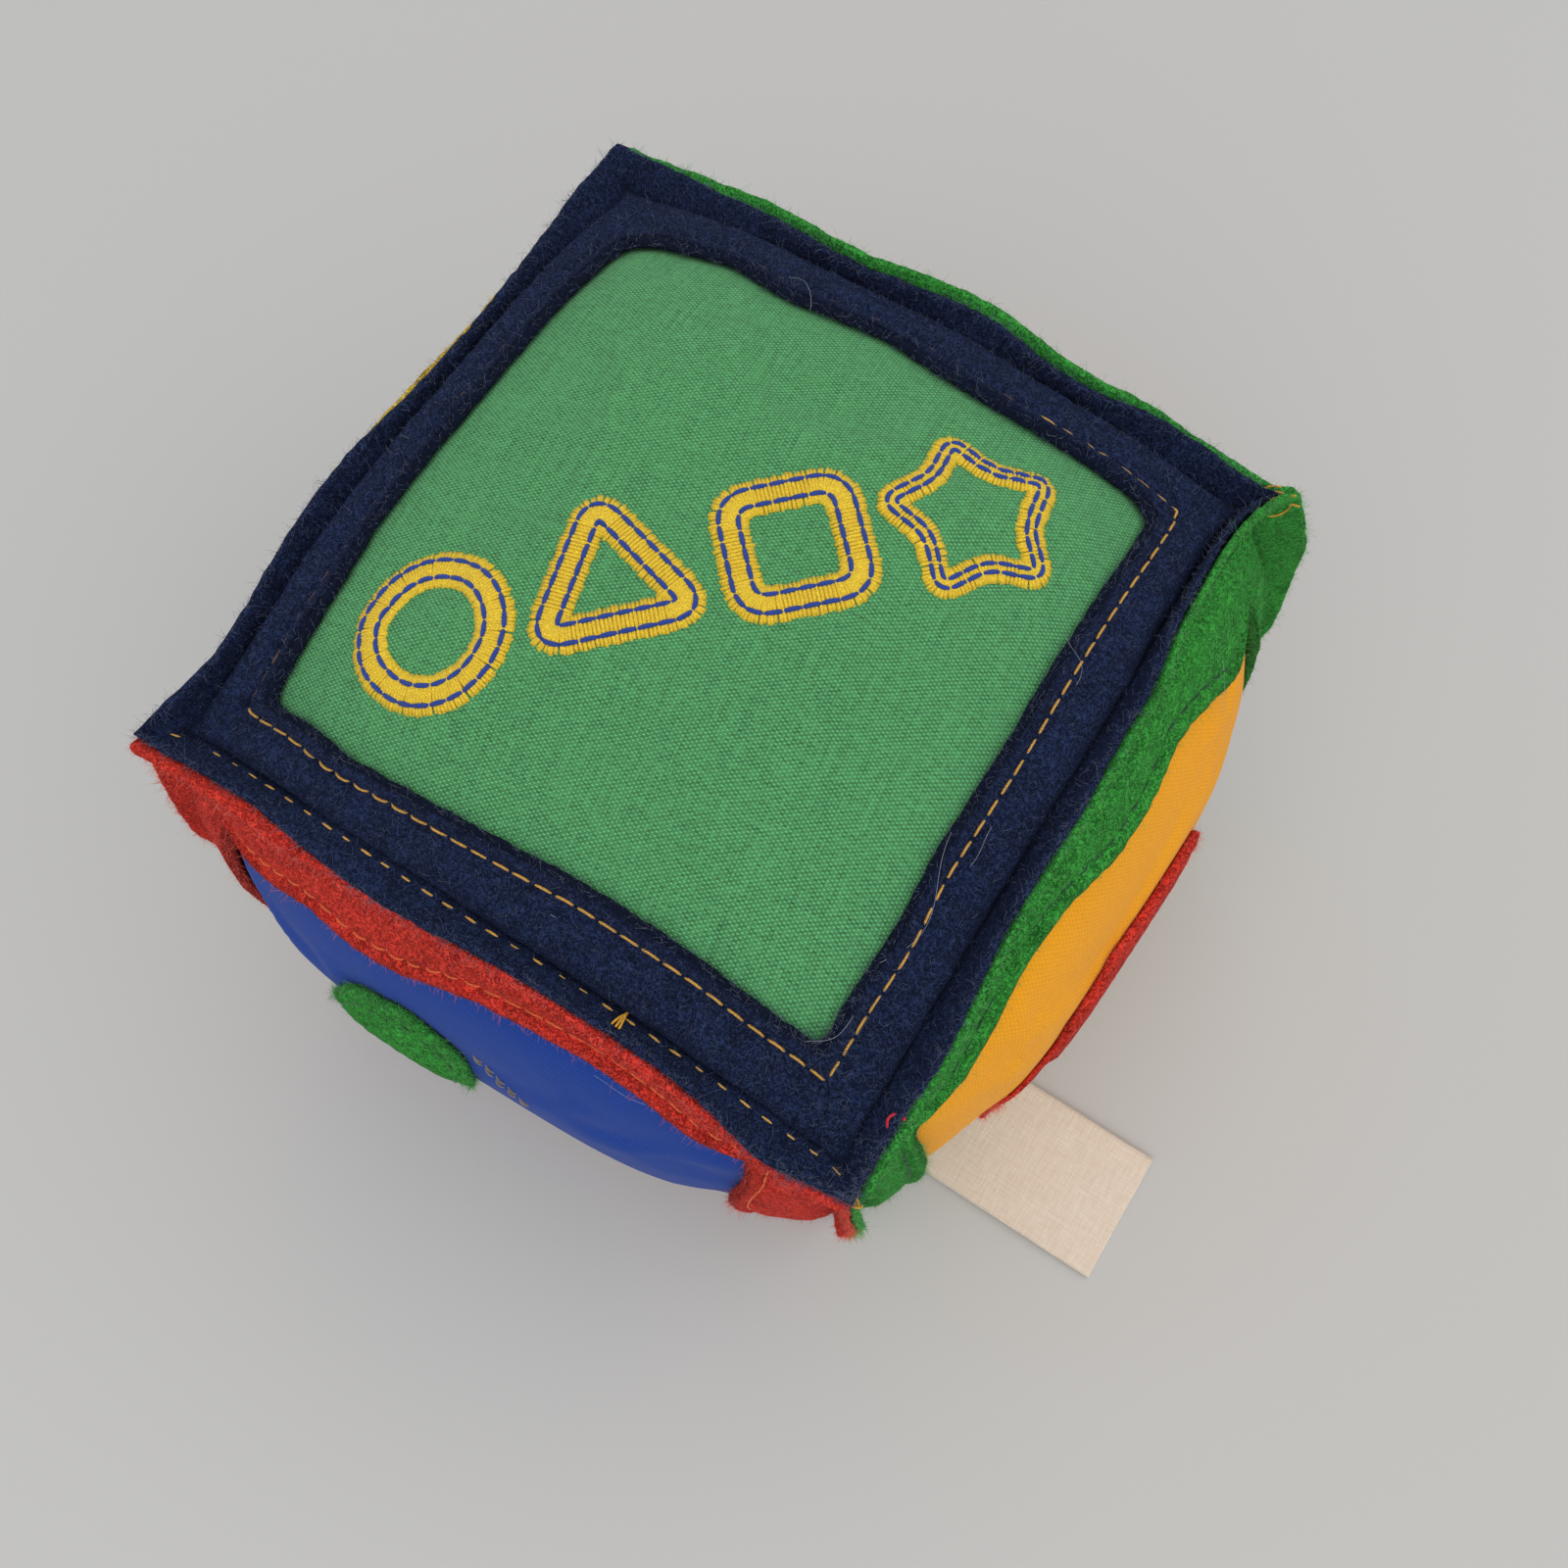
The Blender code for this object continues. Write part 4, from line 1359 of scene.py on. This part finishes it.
def rounded_corners(corners, radius, turn):
    """A closed line through corners with its bends rounded, as evenly spaced points."""
    corners = np.array(corners, float)
    spun = np.array([[math.cos(turn), math.sin(turn)], [-math.sin(turn), math.cos(turn)]])
    corners = corners @ spun
    points = []
    count = len(corners)
    for number in range(count):
        here = corners[number]
        before = unit_of(corners[number - 1] - here)
        after = unit_of(corners[(number + 1) % count] - here)
        for s in np.linspace(0, 1, 12):
            start, end = here + before * radius, here + after * radius
            points.append(start * (1 - s) ** 2 + here * 2 * s * (1 - s) + end * s**2)
    return np.array(points)


def ring_line():
    turns = np.linspace(0, 2 * math.pi, 96, endpoint=False)
    return np.stack([np.cos(turns), np.sin(turns)], axis=-1) * SHAPE_REACH


def polygon_line(count, size, radius, turn, dip=1.0):
    spokes = np.arange(count) * 2 * math.pi / count
    reach = np.where(np.arange(count) % 2 == 0, size, size * dip)
    corners = np.stack([np.cos(spokes), np.sin(spokes)], axis=-1) * reach[:, None]
    return rounded_corners(corners, radius, turn)


def steps_of(line):
    return np.linalg.norm(np.roll(line, -1, axis=0) - line, axis=1)


def evenly(steps, pitch):
    """Where a closed line is cut at an even pitch, as numbers of its points and parts of them."""
    reach = np.concatenate([[0], np.cumsum(steps)])
    number = round(reach[-1] / pitch)
    return np.interp(np.arange(number) * reach[-1] / number, reach, np.arange(len(reach)))


def satin_places(line, half_band):
    """Where satin threads cross a flat line, no further apart than the pitch at either edge."""
    spots = evenly(steps_of(line), SATIN_PITCH / 4)
    numbers = np.arange(len(line) + 1)
    closed = np.vstack([line, line[:1]])
    points = np.stack([np.interp(spots, numbers, closed[:, k]) for k in range(2)], axis=-1)
    around = unit_of(np.roll(points, -8, axis=0) - np.roll(points, 8, axis=0))
    aside = np.stack([around[:, 1], -around[:, 0]], axis=-1)
    edges = [steps_of(points + aside * edge) for edge in (-half_band, half_band)]
    picks = evenly(np.maximum(*edges), SATIN_PITCH).astype(int)
    return points[picks], aside[picks]


quarter = math.pi / 4
EMBROIDERED = [
    ring_line(),
    polygon_line(3, SHAPE_REACH * 1.34, 0.0042, quarter + math.pi / 2),
    polygon_line(4, SHAPE_REACH * 1.24, 0.0040, 0.0),
    polygon_line(10, SHAPE_REACH * 1.34, 0.0024, quarter + math.pi / 2, dip=0.62),
]


def embroider():
    draw = np.random.default_rng(3)
    satin_paths, satin_tops, running_paths, running_tops = [], [], [], []
    for number, outline in enumerate(EMBROIDERED):
        along = (number - 1.5) * ROW_STEP / math.sqrt(2)
        centre = np.array(ROW_SHIFT) + along
        band = SATIN_BAND * (0.74 if number == 3 else 1.0)
        middle, aside = satin_places(outline, band / 2)
        count = len(middle)
        s = np.linspace(-1, 1, SATIN_STEPS)
        half = band / 2 * (1 + draw.uniform(-0.07, 0.07, count))
        slant = draw.uniform(-0.00010, 0.00010, count)
        around = np.stack([-aside[:, 1], aside[:, 0]], axis=-1)
        flat = middle[:, None] + aside[:, None] * (half[:, None] * s)[..., None]
        flat = flat + around[:, None] * (slant[:, None] * s)[..., None] + centre
        height = SATIN_RISE * (1 - np.abs(s) ** 3) - 0.00012
        height = height[None] + draw.uniform(-0.00004, 0.00004, (count, 1))
        pressed = band / 2 - RUNNING_IN
        dent = np.exp(-((np.abs(s) * band / 2 - pressed) ** 2) / (2 * 0.0003**2))
        points, ways = on_panel("top", flat[..., 0], flat[..., 1], height - dent * 0.0001)
        satin_paths.append(points)
        satin_tops.append(ways)
        for edge in (-1, 1):
            running = middle + aside * edge * (band / 2 - RUNNING_IN) + centre
            lift = np.full(len(running), SATIN_RISE * 0.62)
            line, up = on_panel("top", running[:, 0], running[:, 1], lift)
            paths, tops = stitches_along(line, up, RUNNING_PITCH, 0.93, 0.00024)
            running_paths.append(paths)
            running_tops.append(tops)
    satin = thread_finish("yellow_satin", rgb(248, 200, 40), 0.38)
    running = thread_finish("blue_running", rgb(16, 58, 148), 0.42)
    thread_piece(
        "satin_shapes",
        np.concatenate(satin_paths),
        SATIN_THREAD,
        satin,
        up=np.concatenate(satin_tops),
        sides=6,
    )
    thread_piece(
        "running_stitches",
        np.concatenate(running_paths),
        RUNNING_THREAD,
        running,
        up=np.concatenate(running_tops),
        sides=6,
    )


embroider()

# The tag
# A strip of soft cream woven tape, folded double with both ends caught in the bottom seam of
# the right side. It lies on the table.

TAG_WIDTH = 0.0285
TAG_ACROSS = -0.0295
TAG_REACH = 0.111
TAG_LEAF = 0.0003
TAG_SLIT = 0.0002
TAG_STEPS = 60
TAG_COLUMNS = 24
TAG_WAVE = 0.0005
TAG_ROOT = SEAM_HALF + FLANGE_WIDTH / math.sqrt(2) + LAYER_GAP * (1 + 1 / math.sqrt(2))


def tape_finish():
    """A close plain weave in soft cotton."""
    finish = Finish("cream_tape", 0.8, sheen=0.15)
    ribs = (finish.noise((0.0003, 0.004, 0.004), detail=1)).between(0.3, 0.7)
    yarns = (finish.noise((0.004, 0.00025, 0.004), detail=1)).between(0.3, 0.7)
    cloudy = finish.noise(0.012, detail=2).between(0.3, 0.7)
    woven = finish.mix(ribs * 0.5 + yarns * 0.5, rgb(214, 198, 178), rgb(233, 220, 204))
    finish.set("Base Color", finish.mix(cloudy * 0.25, woven, rgb(222, 200, 180)))
    finish.raise_by(ribs * 0.5 + yarns * 0.5, 0.00008)
    return finish.material


def make_tag():
    outer, inner = TAG_LEAF + TAG_SLIT / 2, TAG_SLIT / 2
    fold = TAG_REACH - outer
    run = np.linspace(TAG_ROOT, fold, TAG_STEPS)
    turns = np.linspace(-math.pi / 2, math.pi / 2, 9)[1:-1]
    section = [(x, -outer) for x in run]
    section += [(fold + outer * math.cos(t), outer * math.sin(t)) for t in turns]
    section += [(x, outer) for x in run[::-1]]
    section += [(x, inner) for x in run]
    section += [(fold + inner * math.cos(t), inner * math.sin(t)) for t in turns[::-1]]
    section += [(x, -inner) for x in run[::-1]]
    section = np.array(section)
    across = np.linspace(-TAG_WIDTH / 2, TAG_WIDTH / 2, TAG_COLUMNS + 1)
    x = np.broadcast_to(section[:, 0], (len(across), len(section)))
    z = np.broadcast_to(section[:, 1], x.shape) + outer
    y = np.broadcast_to(across[:, None], x.shape)
    away = np.clip((x - TAG_ROOT) / (TAG_REACH - TAG_ROOT), 0, 1)
    wave = TAG_WAVE * away * (1 + np.sin(away * 6 + y * 110) * np.cos(y * 90 + 0.4))
    upper = (section[:, 1] > 0) * np.clip((fold - section[:, 0]) / 0.004, 0, 1)
    puff = 0.0005 * upper * np.sin(np.clip(away, 0, 1) * math.pi)
    edge_lift = 0.0004 * (np.abs(y) / (TAG_WIDTH / 2)) ** 6 * away
    points = np.stack([x, y + TAG_ACROSS, z + wave + puff + edge_lift], axis=-1)
    faces = capped_faces(len(across), len(section))
    item = keep_outward(make_piece("tape_tag", points.reshape(-1, 3), faces, tape_finish()))
    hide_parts("tag")
    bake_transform(item)


make_tag()

# The floor, the light and the camera
# A plain pale table top under soft light from above. The camera looks down on the block
# from near the corner between the red and the green side.

FLOOR_SIZE = 6.0
CAMERA_PLACE = (0.0588, -0.0644, 0.3087)
CAMERA_FORWARD = (-0.1883, 0.2418, -0.9519)
CAMERA_UP = (-0.5083, 0.8053, 0.3052)
CAMERA_LENS = 31.5


def floor_finish():
    finish = Finish("pale_floor", 0.7)
    soft = finish.noise(0.8, detail=1)
    finish.set("Base Color", finish.mix(soft, rgb(190, 189, 186), rgb(198, 197, 194)))
    return finish.material


corners = np.array([(-1, -1, 0), (1, -1, 0), (1, 1, 0), (-1, 1, 0)]) * FLOOR_SIZE / 2
floor = make_piece("floor", corners, [np.array([[0, 1, 2, 3]])], floor_finish())

world = bpy.data.worlds.new("soft_room")
world.use_nodes = True
world.node_tree.nodes["Background"].inputs["Color"].default_value = (0.97, 0.98, 1.0, 1)
world.node_tree.nodes["Background"].inputs["Strength"].default_value = 0.6
bpy.context.scene.world = world


def soft_lamp(name, place, size, power):
    lamp = bpy.data.lights.new(name, "AREA")
    lamp.shape = "SQUARE"
    lamp.size = size
    lamp.energy = power
    item = bpy.data.objects.new(name, lamp)
    bpy.context.collection.objects.link(item)
    item.location = place
    towards_block = Vector((0, 0, SEAM_HALF)) - Vector(place)
    item.rotation_euler = towards_block.to_track_quat("-Z", "Y").to_euler()


soft_lamp("window_light", (0.42, 0.05, 1.5), 2.6, 17)
soft_lamp("room_light", (0.1, -0.9, 1.2), 1.0, 2.5)

view = bpy.data.cameras.new("photo_view")
view.lens = CAMERA_LENS
view.sensor_width = 36
view.clip_start = 0.01
camera = bpy.data.objects.new("photo_view", view)
bpy.context.collection.objects.link(camera)
forward = unit_of(np.array(CAMERA_FORWARD))
sideways = unit_of(np.cross(forward, CAMERA_UP))
upward = np.cross(sideways, forward)
pose = np.eye(4)
pose[:3, 0], pose[:3, 1], pose[:3, 2], pose[:3, 3] = sideways, upward, -forward, CAMERA_PLACE
camera.matrix_world = Matrix(pose.tolist())
bpy.context.scene.camera = camera
bpy.context.scene.view_settings.view_transform = "Standard"
